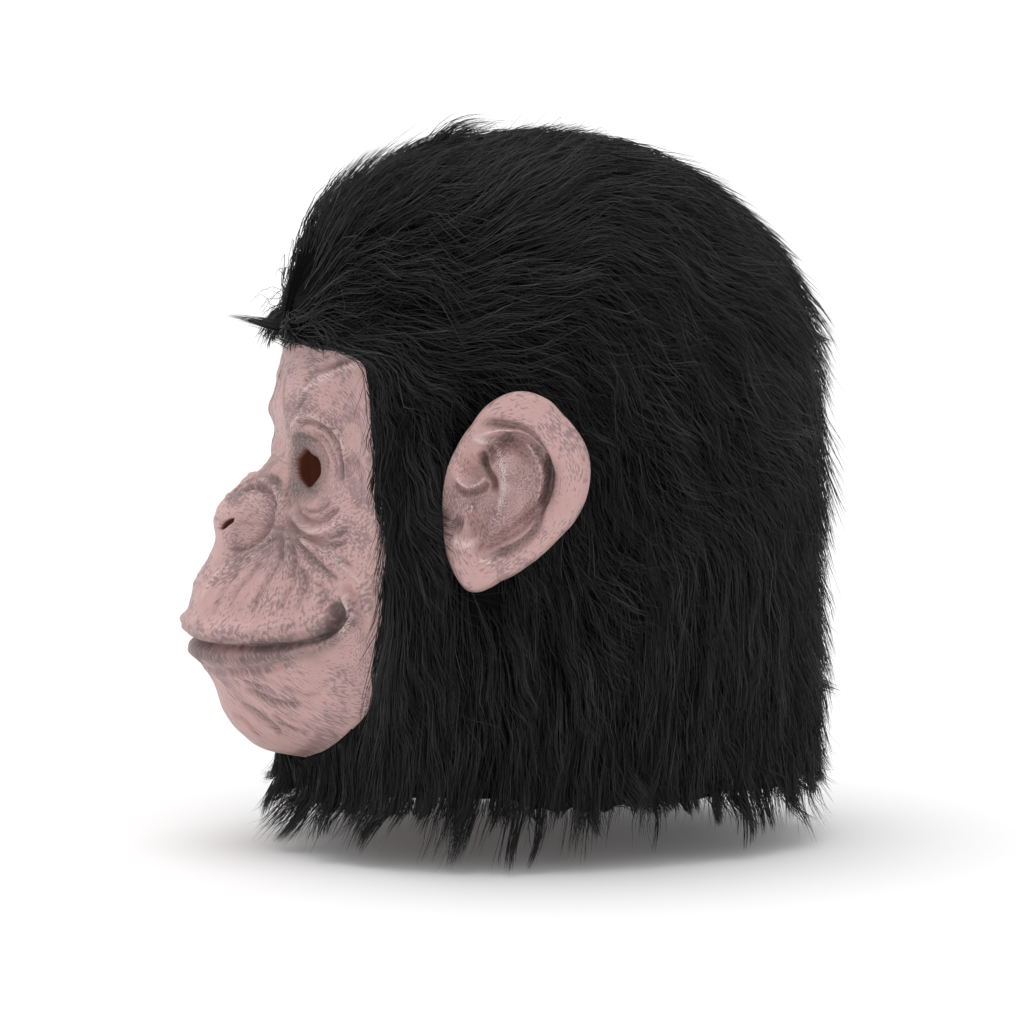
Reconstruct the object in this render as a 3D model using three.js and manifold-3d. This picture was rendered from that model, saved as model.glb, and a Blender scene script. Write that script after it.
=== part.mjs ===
// Ape head mask: a moulded latex face, two latex ears and a faux fur hood that goes over the whole head.
// The mask stands upright on the tips of its fur. It looks along -Y, the wearer's left is +X, and +Z is up.
// The origin is on the floor, in the middle of the mask's length and width. All sizes are in millimetres.
import * as THREE from "three";
import { mergeVertices } from "three/addons/utils/BufferGeometryUtils.js";
import Module from "manifold-3d";

const wasm = await Module();
wasm.setup();

// Head form: the egg that the latex and the fabric follow, measured from the floor and from its upright
// axis.
const crownHeight = 300;
const widestHeight = 190;
const headHalfWidth = 92;
const headFront = 112;
const headBack = 118;
const headSquareness = 2.3;

// Walls and the clearances between pieces.
const latexWall = 2.6;
const fabricWall = 2.5;
const glueGap = 0.5; // where the flat facets come closest
const openingGap = 1.2; // between the face and the edge of the hood's opening

// Face.
const chinHeight = 39;
const faceHeight = 187;
const faceHalfWidth = 74;
const muzzleDepth = 36;
const ridgeMargin = 2.5; // between the end of the muzzle and chin and the face's outline
const foldDepth = 5;
const glueFlange = 0.08; // how far the latex runs on under the fabric, as a share of the face
const mouthHeight = 52; // above the chin
const mouthRise = 13;
const mouthHalfWidth = 47;

// Eye holes and nostrils.
const eyeHeight = 132; // above the chin
const eyeSpacing = 65;
const eyeHoleWidth = 17;
const eyeHoleHeight = 18;
const eyeTurn = 38; // degrees that the hole's axis turns outwards
const nostrilHeight = 104; // above the chin
const nostrilSpacing = 21;
const nostrilLength = 10;
const nostrilWidth = 3.6;
const nostrilTilt = 32; // degrees

// Ears.
const earHeight = 87;
const earWall = 3;
const earRelief = 6;
const earBowl = 9; // depth of the bowl in the middle below the rim
const earFlare = 26; // degrees from the side of the head
const earLean = 5; // degrees that the top leans outwards
const earPoleHeight = 169;
const earPoleBack = -29; // behind the axis is positive
const earStandOff = 14; // from the fabric to the bottom of the bowl
const earRootWidth = 22;
const earRootHeight = 44;
const earSeatGap = 0.4;
const earFurGap = 1.2;

// Fur.
const furDepth = 15; // at the tips of the locks
const lockLength = 64;
const lockCount = 38; // ridges of fur round the head
const hemHeight = 24; // of the fabric's edge above the floor
const hemSplay = 9; // how far the hanging tips lean outwards
const whorlTilt = 20; // degrees that the whorl on the crown lies forward of the top
const forelockLength = 30;
const forelockWidth = 20;

// How finely the pieces are faceted. Hood levels are shares of its height.
const faceColumns = 32;
const faceRowCount = 42;
const earFacets = 26;
const hoodFacets = 32;
const hoodLevels = [0.11, 0.15, 0.22, 0.32, 0.48, 0.59, 0.67, 0.74, 0.82, 0.89, 0.945, 0.985];
const crownRows = 9; // of the fur, from the whorl to the head's widest height
const sideRows = 12; // of the fur, from there down to the hem

const side = [1, -1];
const degrees = Math.PI / 180;
const faceTop = chinHeight + faceHeight;
const facetSag = 1.6 * headFront * (1 - Math.cos(Math.PI / hoodFacets));
const hoodInside = glueGap + facetSag;
const hoodOutside = hoodInside + fabricWall;

// Sections of the head form. Heights are shares of crownHeight, and the others of headFront, headBack and
// headHalfWidth.
const headSections = [
  { height: 0.0, front: 0.765, back: 0.975, half: 0.9 },
  { height: 0.067, front: 0.78, back: 0.98, half: 0.905 },
  { height: 0.11, front: 0.82, back: 0.985, half: 0.915 },
  { height: 0.15, front: 0.89, back: 0.99, half: 0.93 },
  { height: 0.22, front: 0.965, back: 1.0, half: 0.95 },
  { height: 0.32, front: 1.0, back: 1.0, half: 0.975 },
  { height: 0.5, front: 1.0, back: 1.0, half: 1.0 },
  { height: 0.63, front: 0.985, back: 1.0, half: 1.0 },
  { height: 0.7, front: 0.95, back: 1.0, half: 0.995 },
  { height: 0.75, front: 0.925, back: 1.0, half: 0.985 },
  { height: 0.85, front: 0.905, back: 1.0, half: 0.97 },
  { height: 1.0, front: 0.9, back: 1.0, half: 0.95 },
];

// Outline of the bare face seen from the front. Height is a share of faceHeight up from the chin, and half
// of faceHalfWidth.
const faceOutline = [
  { height: 0.0, half: 0.2 },
  { height: 0.01, half: 0.3 },
  { height: 0.037, half: 0.49 },
  { height: 0.08, half: 0.65 },
  { height: 0.139, half: 0.785 },
  { height: 0.203, half: 0.865 },
  { height: 0.31, half: 0.945 },
  { height: 0.417, half: 0.975 },
  { height: 0.556, half: 1.0 },
  { height: 0.66, half: 0.97 },
  { height: 0.797, half: 0.92 },
  { height: 0.87, half: 0.87 },
  { height: 0.93, half: 0.81 },
  { height: 0.97, half: 0.75 },
  { height: 1.0, half: 0.62 },
];

// Nose bridge, nose, muzzle and chin, as a ridge that stands out of the head form down the middle of the
// face. Height is a share of faceHeight up from the chin, reach of muzzleDepth and half of the outline's
// half-width, and a higher power makes the ridge squarer.
const ridgeSections = [
  { height: 0.0, reach: 0.0, half: 0.5, power: 2.4 },
  { height: 0.006, reach: 0.24, half: 0.52, power: 2.4 },
  { height: 0.0176, reach: 0.42, half: 0.55, power: 2.4 },
  { height: 0.051, reach: 0.57, half: 0.57, power: 2.6 },
  { height: 0.093, reach: 0.63, half: 0.58, power: 2.8 },
  { height: 0.136, reach: 0.66, half: 0.58, power: 3.0 },
  { height: 0.186, reach: 0.76, half: 0.57, power: 3.2 },
  { height: 0.23, reach: 0.9, half: 0.56, power: 3.4 },
  { height: 0.31, reach: 1.0, half: 0.56, power: 3.5 },
  { height: 0.36, reach: 0.97, half: 0.52, power: 3.3 },
  { height: 0.4225, reach: 0.86, half: 0.45, power: 3.0 },
  { height: 0.503, reach: 0.66, half: 0.36, power: 2.8 },
  { height: 0.5545, reach: 0.64, half: 0.29, power: 2.6 },
  { height: 0.594, reach: 0.57, half: 0.25, power: 2.4 },
  { height: 0.636, reach: 0.42, half: 0.21, power: 2.2 },
  { height: 0.69, reach: 0.13, half: 0.18, power: 2.0 },
  { height: 0.733, reach: -0.05, half: 0.22, power: 2.0 },
  { height: 0.775, reach: 0.0, half: 0.4, power: 2.0 },
  { height: 0.86, reach: 0.03, half: 0.45, power: 2.0 },
  { height: 1.0, reach: 0.0, half: 0.5, power: 2.0 },
];

// Rounded forms of the face, the same on both sides. Across and radii are shares of faceHalfWidth, height
// of faceHeight, lift of foldDepth, and tilt in degrees raises the outer end.
const faceForms = [
  { name: "flat cheek", across: 0.68, height: 0.64, wide: 0.36, high: 0.7, tilt: 0, lift: -1.9 },
  { name: "brow", across: 0.4, height: 0.8, wide: 0.27, high: 0.085, tilt: -8, lift: 0.7 },
  { name: "eye socket", across: 0.5, height: 0.7, wide: 0.17, high: 0.17, tilt: 0, lift: -0.95 },
  { name: "inner eye hollow", across: 0.24, height: 0.68, wide: 0.08, high: 0.11, tilt: 0, lift: -0.6 },
  { name: "eye bag", across: 0.46, height: 0.6, wide: 0.17, high: 0.06, tilt: 8, lift: 0.45 },
  { name: "cheekbone", across: 0.7, height: 0.61, wide: 0.16, high: 0.18, tilt: 0, lift: 0.45 },
  { name: "temple", across: 0.78, height: 0.82, wide: 0.19, high: 0.19, tilt: 0, lift: -0.4 },
  { name: "nose wing", across: 0.2, height: 0.575, wide: 0.115, high: 0.13, tilt: 20, lift: 0.95 },
  { name: "nose tip", across: 0.0, height: 0.56, wide: 0.12, high: 0.1, tilt: 0, lift: 0.3 },
  { name: "mouth corner", across: 0.67, height: 0.355, wide: 0.1, high: 0.13, tilt: 0, lift: -1.1 },
  { name: "cheek fold", across: 0.79, height: 0.33, wide: 0.09, high: 0.27, tilt: 0, lift: 0.4 },
  { name: "chin", across: 0.0, height: 0.1, wide: 0.27, high: 0.13, tilt: 0, lift: 0.3 },
];

// Folds that ring each eye. Radius and width are shares of eyeHoleWidth, lift of foldDepth.
const eyeRings = [
  { radius: 0.72, width: 0.2, lift: 0.4 },
  { radius: 1.12, width: 0.2, lift: -0.3 },
];

// Creases, from one end to the other. Positions are shares of faceHalfWidth and faceHeight, bend and width
// of faceHalfWidth and depth of foldDepth.
const creases = [
  { name: "under the nose", x1: 0.0, h1: 0.507, x2: 0.3, h2: 0.55, bend: -0.03, width: 0.03, depth: 0.35 },
  { name: "round the nose wing", x1: 0.3, h1: 0.55, x2: 0.2, h2: 0.655, bend: 0.1, width: 0.028, depth: 0.35 },
  { name: "beside the muzzle", x1: 0.33, h1: 0.55, x2: 0.66, h2: 0.38, bend: -0.04, width: 0.04, depth: 0.45 },
  { name: "upper cheek", x1: 0.36, h1: 0.55, x2: 0.76, h2: 0.45, bend: -0.03, width: 0.03, depth: 0.25 },
  { name: "brow", x1: 0.15, h1: 0.86, x2: 0.62, h2: 0.93, bend: -0.05, width: 0.04, depth: 0.2 },
  { name: "chin", x1: 0.0, h1: 0.165, x2: 0.42, h2: 0.15, bend: 0.05, width: 0.04, depth: 0.3 },
];

// Lips, across the mouth line. Offset and width are shares of foldDepth, and so is the lift, which fades
// from its full value at the share of mouthHalfWidth named full to nothing at the share named none.
const lips = [
  { name: "upper lip", offset: 1.45, width: 0.72, lift: 0.75, full: 0.55, none: 1.08 },
  { name: "mouth line", offset: 0.0, width: 0.3, lift: -1.0, full: 0.88, none: 1.04 },
  { name: "lower lip", offset: -1.0, width: 0.62, lift: 0.5, full: 0.45, none: 0.95 },
];

// Outline of an ear round the pole of its bowl, seen from the side. The angle in degrees runs from the
// back edge up over the top, and radius is a share of earHeight.
const earOutline = [
  { angle: -90, radius: 0.444 },
  { angle: -68, radius: 0.386 },
  { angle: -40, radius: 0.367 },
  { angle: -16, radius: 0.406 },
  { angle: 7, radius: 0.46 },
  { angle: 28, radius: 0.508 },
  { angle: 51, radius: 0.524 },
  { angle: 62, radius: 0.543 },
  { angle: 78, radius: 0.528 },
  { angle: 96, radius: 0.448 },
  { angle: 114, radius: 0.357 },
  { angle: 152, radius: 0.29 },
  { angle: 188, radius: 0.306 },
  { angle: 212, radius: 0.358 },
  { angle: 230, radius: 0.436 },
  { angle: 249, radius: 0.526 },
  { angle: 256, radius: 0.522 },
  { angle: 263, radius: 0.485 },
  { angle: 270, radius: 0.444 },
];

// Rim of an ear and the groove inside it, out from the pole. Lift is a share of earRelief.
const earRim = [
  { out: 0.42, lift: 0.0 },
  { out: 0.52, lift: -0.55 },
  { out: 0.59, lift: -0.6 },
  { out: 0.66, lift: 0.35 },
  { out: 0.74, lift: 0.75 },
  { out: 0.86, lift: 0.7 },
  { out: 0.95, lift: 0.35 },
  { out: 1.0, lift: -0.15 },
];

// Forms inside an ear's rim. Back and up are shares of earHeight from the pole, and so are the two radii.
// Tilt in degrees turns the long radius from upright towards the back, and lift is a share of earRelief.
const earForms = [
  { name: "inner fold", back: 0.09, up: 0.02, long: 0.24, short: 0.075, tilt: -4, lift: 0.55 },
  { name: "lower fold", back: -0.05, up: -0.25, long: 0.15, short: 0.06, tilt: 68, lift: 0.5 },
  { name: "upright fold", back: -0.03, up: 0.1, long: 0.16, short: 0.035, tilt: -12, lift: 0.75 },
  { name: "hollow", back: -0.14, up: 0.13, long: 0.07, short: 0.035, tilt: -30, lift: -0.5 },
  { name: "front knob", back: -0.21, up: 0.1, long: 0.08, short: 0.07, tilt: 0, lift: 0.8 },
  { name: "lower knob", back: -0.2, up: -0.07, long: 0.09, short: 0.06, tilt: 10, lift: 0.45 },
  { name: "ear canal", back: -0.25, up: -0.18, long: 0.07, short: 0.07, tilt: 0, lift: -0.6 },
  { name: "notch", back: -0.11, up: -0.13, long: 0.08, short: 0.05, tilt: 20, lift: -0.55 },
];

// How high the fur of one lock stands from its root to its tip, as a share of furDepth.
const lockShape = [
  { along: 0.0, lift: 0.42 },
  { along: 0.3, lift: 0.66 },
  { along: 0.72, lift: 0.95 },
  { along: 0.86, lift: 1.0 },
  { along: 1.0, lift: 0.42 },
];
const partingLift = 0.34; // of the fur between two locks

// Sections of the forelock from root to tip. Width is a share of forelockWidth, thickness of furDepth and
// rise of forelockLength.
const forelockShape = [
  { along: 0.0, width: 0.9, thickness: 0.7, rise: 0.0 },
  { along: 0.4, width: 1.0, thickness: 0.6, rise: 0.06 },
  { along: 0.75, width: 0.5, thickness: 0.3, rise: 0.05 },
];

// Reads a column of a table at a place between its rows, on a smooth curve through them.
function read(rows, by, column, at) {
  const last = rows.length - 1;
  if (at <= rows[0][by]) return rows[0][column];
  if (at >= rows[last][by]) return rows[last][column];
  const i = rows.findIndex((row) => row[by] > at) - 1;
  const slope = (k) => {
    const before = rows[Math.max(k - 1, 0)];
    const after = rows[Math.min(k + 1, last)];
    return (after[column] - before[column]) / (after[by] - before[by]);
  };
  const step = rows[i + 1][by] - rows[i][by];
  const u = (at - rows[i][by]) / step;
  const rise = rows[i + 1][column] - rows[i][column];
  const swell = (1 - u) * slope(i) * step - u * slope(i + 1) * step;
  return rows[i][column] + rise * u * u * (3 - 2 * u) + u * (1 - u) * swell;
}

const clamp = (value, low, high) => Math.min(Math.max(value, low), high);
const bell = (distance, width) => Math.exp(-((distance / width) ** 2));

function smoothStep(from, to, value) {
  const u = clamp((value - from) / (to - from), 0, 1);
  return u * u * (3 - 2 * u);
}

// Head form

// Half sizes of the head form's level section at height z, grown all round by grow.
function headSection(z, grow) {
  const share = z / crownHeight;
  return {
    half: headHalfWidth * read(headSections, "height", "half", share) + grow,
    front: headFront * read(headSections, "height", "front", share) + grow,
    back: headBack * read(headSections, "height", "back", share) + grow,
  };
}

// Zero at the head's widest height and 1 at the crown.
const domeShare = (z, grow) => (z - widestHeight) / (crownHeight + grow - widestHeight);

// What is left of a level section's half sizes under the dome.
function domeShrink(z, grow) {
  const share = clamp(domeShare(z, grow), 0, 1);
  return (1 - share ** headSquareness) ** (1 / headSquareness);
}

// Zero on the head form, less inside it and more outside.
function headForm(point, grow) {
  const section = headSection(point.z, grow);
  const depth = point.y < 0 ? section.front : section.back;
  const level =
    Math.abs(point.x / section.half) ** headSquareness + Math.abs(point.y / depth) ** headSquareness;
  const up = Math.max(domeShare(point.z, grow), 0);
  return (level + up ** headSquareness) ** (1 / headSquareness) - 1;
}

function headNormal(point, grow) {
  const reach = 0.5;
  const slope = (x, y, z) =>
    headForm(new THREE.Vector3(point.x + x, point.y + y, point.z + z), grow) -
    headForm(new THREE.Vector3(point.x - x, point.y - y, point.z - z), grow);
  return new THREE.Vector3(slope(reach, 0, 0), slope(0, reach, 0), slope(0, 0, reach)).normalize();
}

// The nearest place on the head form, found by stepping along its slope.
function ontoHead(point, grow) {
  const found = point.clone();
  const reach = 0.5;
  for (let step = 0; step < 4; step++) {
    const normal = headNormal(found, grow);
    const ahead = headForm(found.clone().addScaledVector(normal, reach), grow);
    const behind = headForm(found.clone().addScaledVector(normal, -reach), grow);
    found.addScaledVector(normal, (-headForm(found, grow) * 2 * reach) / (ahead - behind));
  }
  return found;
}

// The place on the head form at height z, turned from the front by an angle in radians.
function headPoint(angle, z, grow) {
  const section = headSection(z, grow);
  const shrink = domeShrink(z, grow);
  const depth = Math.cos(angle) > 0 ? section.front : section.back;
  const power = 2 / headSquareness;
  const x = Math.sign(Math.sin(angle)) * Math.abs(Math.sin(angle)) ** power * section.half * shrink;
  const y = -Math.sign(Math.cos(angle)) * Math.abs(Math.cos(angle)) ** power * depth * shrink;
  return new THREE.Vector3(x, y, z);
}

// How far in front of the axis the head form's skin is, at a place seen from the front.
function headReach(x, z) {
  const section = headSection(z, 0);
  const shrink = domeShrink(z, 0);
  const across = clamp(Math.abs(x) / (section.half * shrink), 0, 1);
  return section.front * shrink * (1 - across ** headSquareness) ** (1 / headSquareness);
}

// Solids from meshes

function solidFrom(vertices, triangles) {
  const geometry = new THREE.BufferGeometry();
  const numbers = vertices.flatMap((vertex) => [vertex.x, vertex.y, vertex.z]);
  geometry.setAttribute("position", new THREE.Float32BufferAttribute(numbers, 3));
  geometry.setIndex(triangles.flat());
  return solidOf(geometry);
}

function solidOf(geometry) {
  const bare = geometry.clone();
  bare.deleteAttribute("normal");
  bare.deleteAttribute("uv");
  const merged = mergeVertices(bare, 1e-3);
  return new wasm.Manifold(
    new wasm.Mesh({
      numProp: 3,
      vertProperties: merged.attributes.position.array,
      triVerts: new Uint32Array(merged.index.array),
    }),
  );
}

function geometryOf(solid) {
  const mesh = solid.getMesh();
  const geometry = new THREE.BufferGeometry();
  geometry.setAttribute("position", new THREE.BufferAttribute(mesh.vertProperties, 3));
  geometry.setIndex(new THREE.BufferAttribute(mesh.triVerts, 1));
  geometry.computeVertexNormals();
  return geometry;
}

// A closed solid through rings of points, each ring with as many points, closed by a point or a fan at
// each end.
function loft(rings, startPoint, endPoint) {
  const vertices = rings.flat();
  const triangles = [];
  const around = rings[0].length;
  rings.slice(1).forEach((_, r) => {
    for (let i = 0; i < around; i++) {
      const a = r * around + i;
      const b = r * around + ((i + 1) % around);
      triangles.push([a, b, a + around], [b, b + around, a + around]);
    }
  });
  const startIndex = vertices.push(startPoint) - 1;
  const endIndex = vertices.push(endPoint) - 1;
  const lastRing = (rings.length - 1) * around;
  for (let i = 0; i < around; i++) {
    const next = (i + 1) % around;
    triangles.push([startIndex, next, i], [endIndex, lastRing + i, lastRing + next]);
  }
  return solidFrom(vertices, triangles);
}

// Face

// Half-width of the bare face's outline at height z, with the whole outline grown about its middle.
function outlineHalf(z, grown) {
  const share = (z - chinHeight) / faceHeight;
  return faceHalfWidth * grown * read(faceOutline, "height", "half", 0.5 + (share - 0.5) / grown);
}

// Height of the line where the lips meet, which rises towards the corners.
function mouthLine(x) {
  const share = Math.min(Math.abs(x) / mouthHalfWidth, 1.15);
  return chinHeight + mouthHeight + mouthRise * share ** 4;
}

// The nose, muzzle and chin, as far as they stand out of the head form.
function ridge(x, z) {
  const share = (z - chinHeight) / faceHeight;
  if (share <= 0 || share >= 1) return 0;
  const half = outlineHalf(z, 1);
  const across = Math.abs(x) / (half * read(ridgeSections, "height", "half", share));
  const falloff = 0.5 ** (across ** read(ridgeSections, "height", "power", share));
  const border = Math.min(outlineHalf(z - ridgeMargin, 1), outlineHalf(z + ridgeMargin, 1));
  const edge = 1 - smoothStep(0.82, 1, Math.abs(x) / border);
  return muzzleDepth * read(ridgeSections, "height", "reach", share) * falloff * edge;
}

const faceBase = (x, z) => new THREE.Vector3(x, -headReach(x, z) - ridge(x, z), z);

function faceNormal(x, z) {
  const reach = 0.8;
  const across = faceBase(x + reach, z).sub(faceBase(x - reach, z));
  const up = faceBase(x, z + reach).sub(faceBase(x, z - reach));
  return across.cross(up).normalize();
}

function formLift(form, x, z) {
  const dx = (Math.abs(x) - form.across * faceHalfWidth) / faceHalfWidth;
  const dz = (z - chinHeight - form.height * faceHeight) / faceHalfWidth;
  const cos = Math.cos(form.tilt * degrees);
  const sin = Math.sin(form.tilt * degrees);
  const along = (dx * cos + dz * sin) / form.wide;
  const over = (dz * cos - dx * sin) / form.high;
  return form.lift * foldDepth * Math.exp(-along * along - over * over);
}

function eyeRingLift(ring, x, z) {
  const dx = Math.abs(x) - eyeSpacing / 2;
  const dz = z - chinHeight - eyeHeight;
  const distance = Math.hypot(dx, dz * (eyeHoleWidth / eyeHoleHeight)) / eyeHoleWidth;
  return ring.lift * foldDepth * bell(distance - ring.radius, ring.width);
}

// Depth of a crease that bows sideways between its ends and fades out at both.
function creaseLift(crease, x, z) {
  const startX = crease.x1 * faceHalfWidth;
  const startZ = chinHeight + crease.h1 * faceHeight;
  const runX = crease.x2 * faceHalfWidth - startX;
  const runZ = chinHeight + crease.h2 * faceHeight - startZ;
  const length = Math.hypot(runX, runZ);
  const dx = Math.abs(x) - startX;
  const dz = z - startZ;
  const along = (dx * runX + dz * runZ) / (length * length);
  const bow = 4 * along * (1 - along) * crease.bend * faceHalfWidth;
  const off = (dz * runX - dx * runZ) / length - bow;
  const ends = smoothStep(-0.15, 0.1, along) * (1 - smoothStep(0.85, 1.15, along));
  return -crease.depth * foldDepth * ends * bell(off, crease.width * faceHalfWidth);
}

function lipLift(lip, x, z) {
  const off = z - mouthLine(x) - lip.offset * foldDepth;
  const along = 1 - smoothStep(lip.full, lip.none, Math.abs(x) / mouthHalfWidth);
  return lip.lift * foldDepth * along * bell(off, lip.width * foldDepth);
}

// Height of the modelled forms over the smooth face. The inside of the latex follows only the rounded ones.
function faceRelief(x, z, inside) {
  const half = outlineHalf(z, 1);
  const fromEnds = Math.min(z - chinHeight, faceTop - z) / faceHalfWidth;
  const edge = (1 - smoothStep(0.84, 1, Math.abs(x) / half)) * smoothStep(0, 0.08, fromEnds);
  let lift = 0;
  for (const form of faceForms) lift += formLift(form, x, z);
  if (inside) {
    const behindMouth = 1 - smoothStep(0.8, 1.1, Math.abs(x) / mouthHalfWidth);
    return edge * (lift - 0.72 * foldDepth * behindMouth * bell(z - mouthLine(x), foldDepth));
  }
  for (const ring of eyeRings) lift += eyeRingLift(ring, x, z);
  for (const crease of creases) lift += creaseLift(crease, x, z);
  for (const lip of lips) lift += lipLift(lip, x, z);
  return edge * lift;
}

function facePoint(x, z, inside) {
  const lift = faceRelief(x, z, inside) - (inside ? latexWall : 0);
  return faceBase(x, z).addScaledVector(faceNormal(x, z), lift);
}

// Heights of the face's rows of points. They are closer together at the lips, two rows lie at each end under the
// fabric, and every second one, which the inside shares, meets the chin and the hairline.
function faceRows() {
  const density = (z) => 1 + 1.9 * bell(z - chinHeight - mouthHeight - foldDepth / 2, 3 * foldDepth);
  const steps = 400;
  const heightAt = (i) => chinHeight + (faceHeight * i) / steps;
  const sums = [0];
  for (let i = 0; i < steps; i++) sums.push(sums[i] + density(heightAt(i + 0.5)));
  const rows = [-1, -0.5].map((share) => chinHeight + share * (glueFlange / 2) * faceHeight);
  for (let j = 0; j <= faceRowCount; j++) {
    const wanted = (sums[steps] * j) / faceRowCount;
    const found = sums.findIndex((sum) => sum >= wanted - 1e-9);
    rows.push(found < 0 ? faceTop : heightAt(found));
  }
  rows.push(...[0.5, 1].map((share) => faceTop + share * (glueFlange / 2) * faceHeight));
  return rows;
}

// Places across the face's right half at which its curve from the middle line has run equal lengths.
function evenPlaces(half, level, count) {
  const steps = 60;
  const places = Array.from({ length: steps + 1 }, (_, i) => faceBase((half * i) / steps, level));
  const runs = [0];
  for (let i = 1; i <= steps; i++) runs.push(runs[i - 1] + places[i].distanceTo(places[i - 1]));
  return Array.from({ length: count + 1 }, (_, k) => {
    const wanted = (runs[steps] * k) / count;
    const i = clamp(runs.findIndex((run) => run >= wanted), 1, steps);
    const share = (wanted - runs[i - 1]) / (runs[i] - runs[i - 1]);
    return k === count ? half : (half * (i - 1 + clamp(share, 0, 1))) / steps;
  });
}

// A grid of points over the face, from its lower edge up and from the right edge to the left. Its rows
// bend with the mouth line.
function faceGrid(columns, rowHeights, inside) {
  const mouth = chinHeight + mouthHeight;
  return rowHeights.map((level) => {
    const places = evenPlaces(outlineHalf(level, 1 + glueFlange), level, columns / 2);
    const bend = bell(level - mouth, 0.16 * faceHeight);
    return [...places.slice(1).reverse().map((x) => -x), ...places].map((x) => {
      const fade = 1 - smoothStep(0.9, 1.3, Math.abs(x) / mouthHalfWidth);
      return facePoint(x, level + bend * fade * (mouthLine(x) - mouth), inside);
    });
  });
}

// Joins an outer grid and an inner grid of half its fineness into one closed wall.
function wallBetween(outer, inner) {
  const vertices = [...outer.flat(), ...inner.flat()];
  const triangles = [];
  const outerAt = (j, i) => j * outer[0].length + i;
  const innerAt = (j, i) => outer.flat().length + j * inner[0].length + i;
  const quad = (a, b, c, d) => triangles.push([a, b, c], [a, c, d]);
  for (let j = 0; j < outer.length - 1; j++)
    for (let i = 0; i < outer[0].length - 1; i++)
      quad(outerAt(j, i), outerAt(j, i + 1), outerAt(j + 1, i + 1), outerAt(j + 1, i));
  for (let j = 0; j < inner.length - 1; j++)
    for (let i = 0; i < inner[0].length - 1; i++)
      quad(innerAt(j, i), innerAt(j + 1, i), innerAt(j + 1, i + 1), innerAt(j, i + 1));
  // Each inner edge step meets two outer ones.
  const seam = (outerEdge, innerEdge) => {
    for (let k = 0; k < innerEdge.length - 1; k++) {
      const [a, b, c] = [outerEdge[2 * k], outerEdge[2 * k + 1], outerEdge[2 * k + 2]];
      const [p, q] = [innerEdge[k], innerEdge[k + 1]];
      triangles.push([b, a, p], [c, b, p], [c, p, q]);
    }
  };
  const rowEnds = [...Array(outer.length).keys()];
  const innerRowEnds = [...Array(inner.length).keys()];
  const across = [...Array(outer[0].length).keys()];
  const innerAcross = [...Array(inner[0].length).keys()];
  const [top, innerTop] = [outer.length - 1, inner.length - 1];
  const [end, innerEnd] = [across.length - 1, innerAcross.length - 1];
  seam(across.map((i) => outerAt(0, i)), innerAcross.map((i) => innerAt(0, i)));
  seam(rowEnds.map((j) => outerAt(j, end)), innerRowEnds.map((j) => innerAt(j, innerEnd)));
  seam(across.map((i) => outerAt(top, end - i)), innerAcross.map((i) => innerAt(innerTop, innerEnd - i)));
  seam(rowEnds.map((j) => outerAt(top - j, 0)), innerRowEnds.map((j) => innerAt(innerTop - j, 0)));
  return solidFrom(vertices, triangles);
}

// A cutter through the wall: a flat shape pushed along Y and turned outwards, with its middle at a place.
function cutter(shape, place, turn, length) {
  const settings = { depth: length, bevelEnabled: false, curveSegments: 5 };
  const geometry = new THREE.ExtrudeGeometry(shape, settings);
  geometry.translate(0, 0, -length / 2);
  geometry.rotateX(Math.PI / 2);
  geometry.rotateZ(turn);
  geometry.translate(place.x, place.y, place.z);
  return solidOf(geometry);
}

// Round above and drawn to a point below, towards the outer side.
function eyeHoleShape(outwards) {
  const w = (eyeHoleWidth / 2) * outwards;
  const h = eyeHoleHeight / 2;
  const shape = new THREE.Shape();
  shape.moveTo(0.25 * w, -1.15 * h);
  shape.quadraticCurveTo(0.8 * w, -0.7 * h, w, -0.15 * h);
  shape.bezierCurveTo(w, 0.5 * h, 0.4 * w, 0.95 * h, -0.2 * w, h);
  shape.bezierCurveTo(-0.75 * w, h, -1.1 * w, 0.6 * h, -0.95 * w, 0.1 * h);
  shape.quadraticCurveTo(-0.6 * w, -0.9 * h, 0.25 * w, -1.15 * h);
  return shape;
}

function nostrilShape(outwards) {
  const shape = new THREE.Shape();
  const tilt = nostrilTilt * degrees * outwards;
  shape.absellipse(0, 0, nostrilLength / 2, nostrilWidth / 2, 0, 2 * Math.PI, false, tilt);
  return shape;
}

function makeFace() {
  const rows = faceRows();
  const innerRows = rows.filter((_, j) => j % 2 === 0);
  const wall = wallBetween(faceGrid(faceColumns, rows, false), faceGrid(faceColumns / 2, innerRows, true));
  const throughWall = 12 * latexWall;
  const cuts = side.flatMap((outwards) => {
    const eye = facePoint((eyeSpacing / 2) * outwards, chinHeight + eyeHeight, false);
    const nostril = facePoint((nostrilSpacing / 2) * outwards, chinHeight + nostrilHeight, false);
    return [
      cutter(eyeHoleShape(outwards), eye, eyeTurn * degrees * outwards, throughWall),
      cutter(nostrilShape(outwards), nostril, 0, throughWall),
    ];
  });
  return cuts.reduce((face, cut) => face.subtract(cut), wall);
}

// Ears

// The ear's own axes, back along it, up and out of its hollow side, from the pole of its bowl.
function earFrame(outwards) {
  const flare = earFlare * degrees;
  const back = new THREE.Vector3(Math.sin(flare) * outwards, Math.cos(flare), 0);
  const out = new THREE.Vector3(Math.cos(flare) * outwards, -Math.sin(flare), 0);
  const up = new THREE.Vector3(0, 0, 1).multiplyScalar(Math.cos(earLean * degrees));
  up.addScaledVector(out, Math.sin(earLean * degrees));
  out.crossVectors(back, up).multiplyScalar(outwards);
  const beside = new THREE.Vector3(headHalfWidth * outwards, earPoleBack, earPoleHeight);
  const seat = ontoHead(beside, hoodOutside);
  return { pole: seat.add(new THREE.Vector3(earStandOff * outwards, 0, 0)), back, up, out };
}

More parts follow.
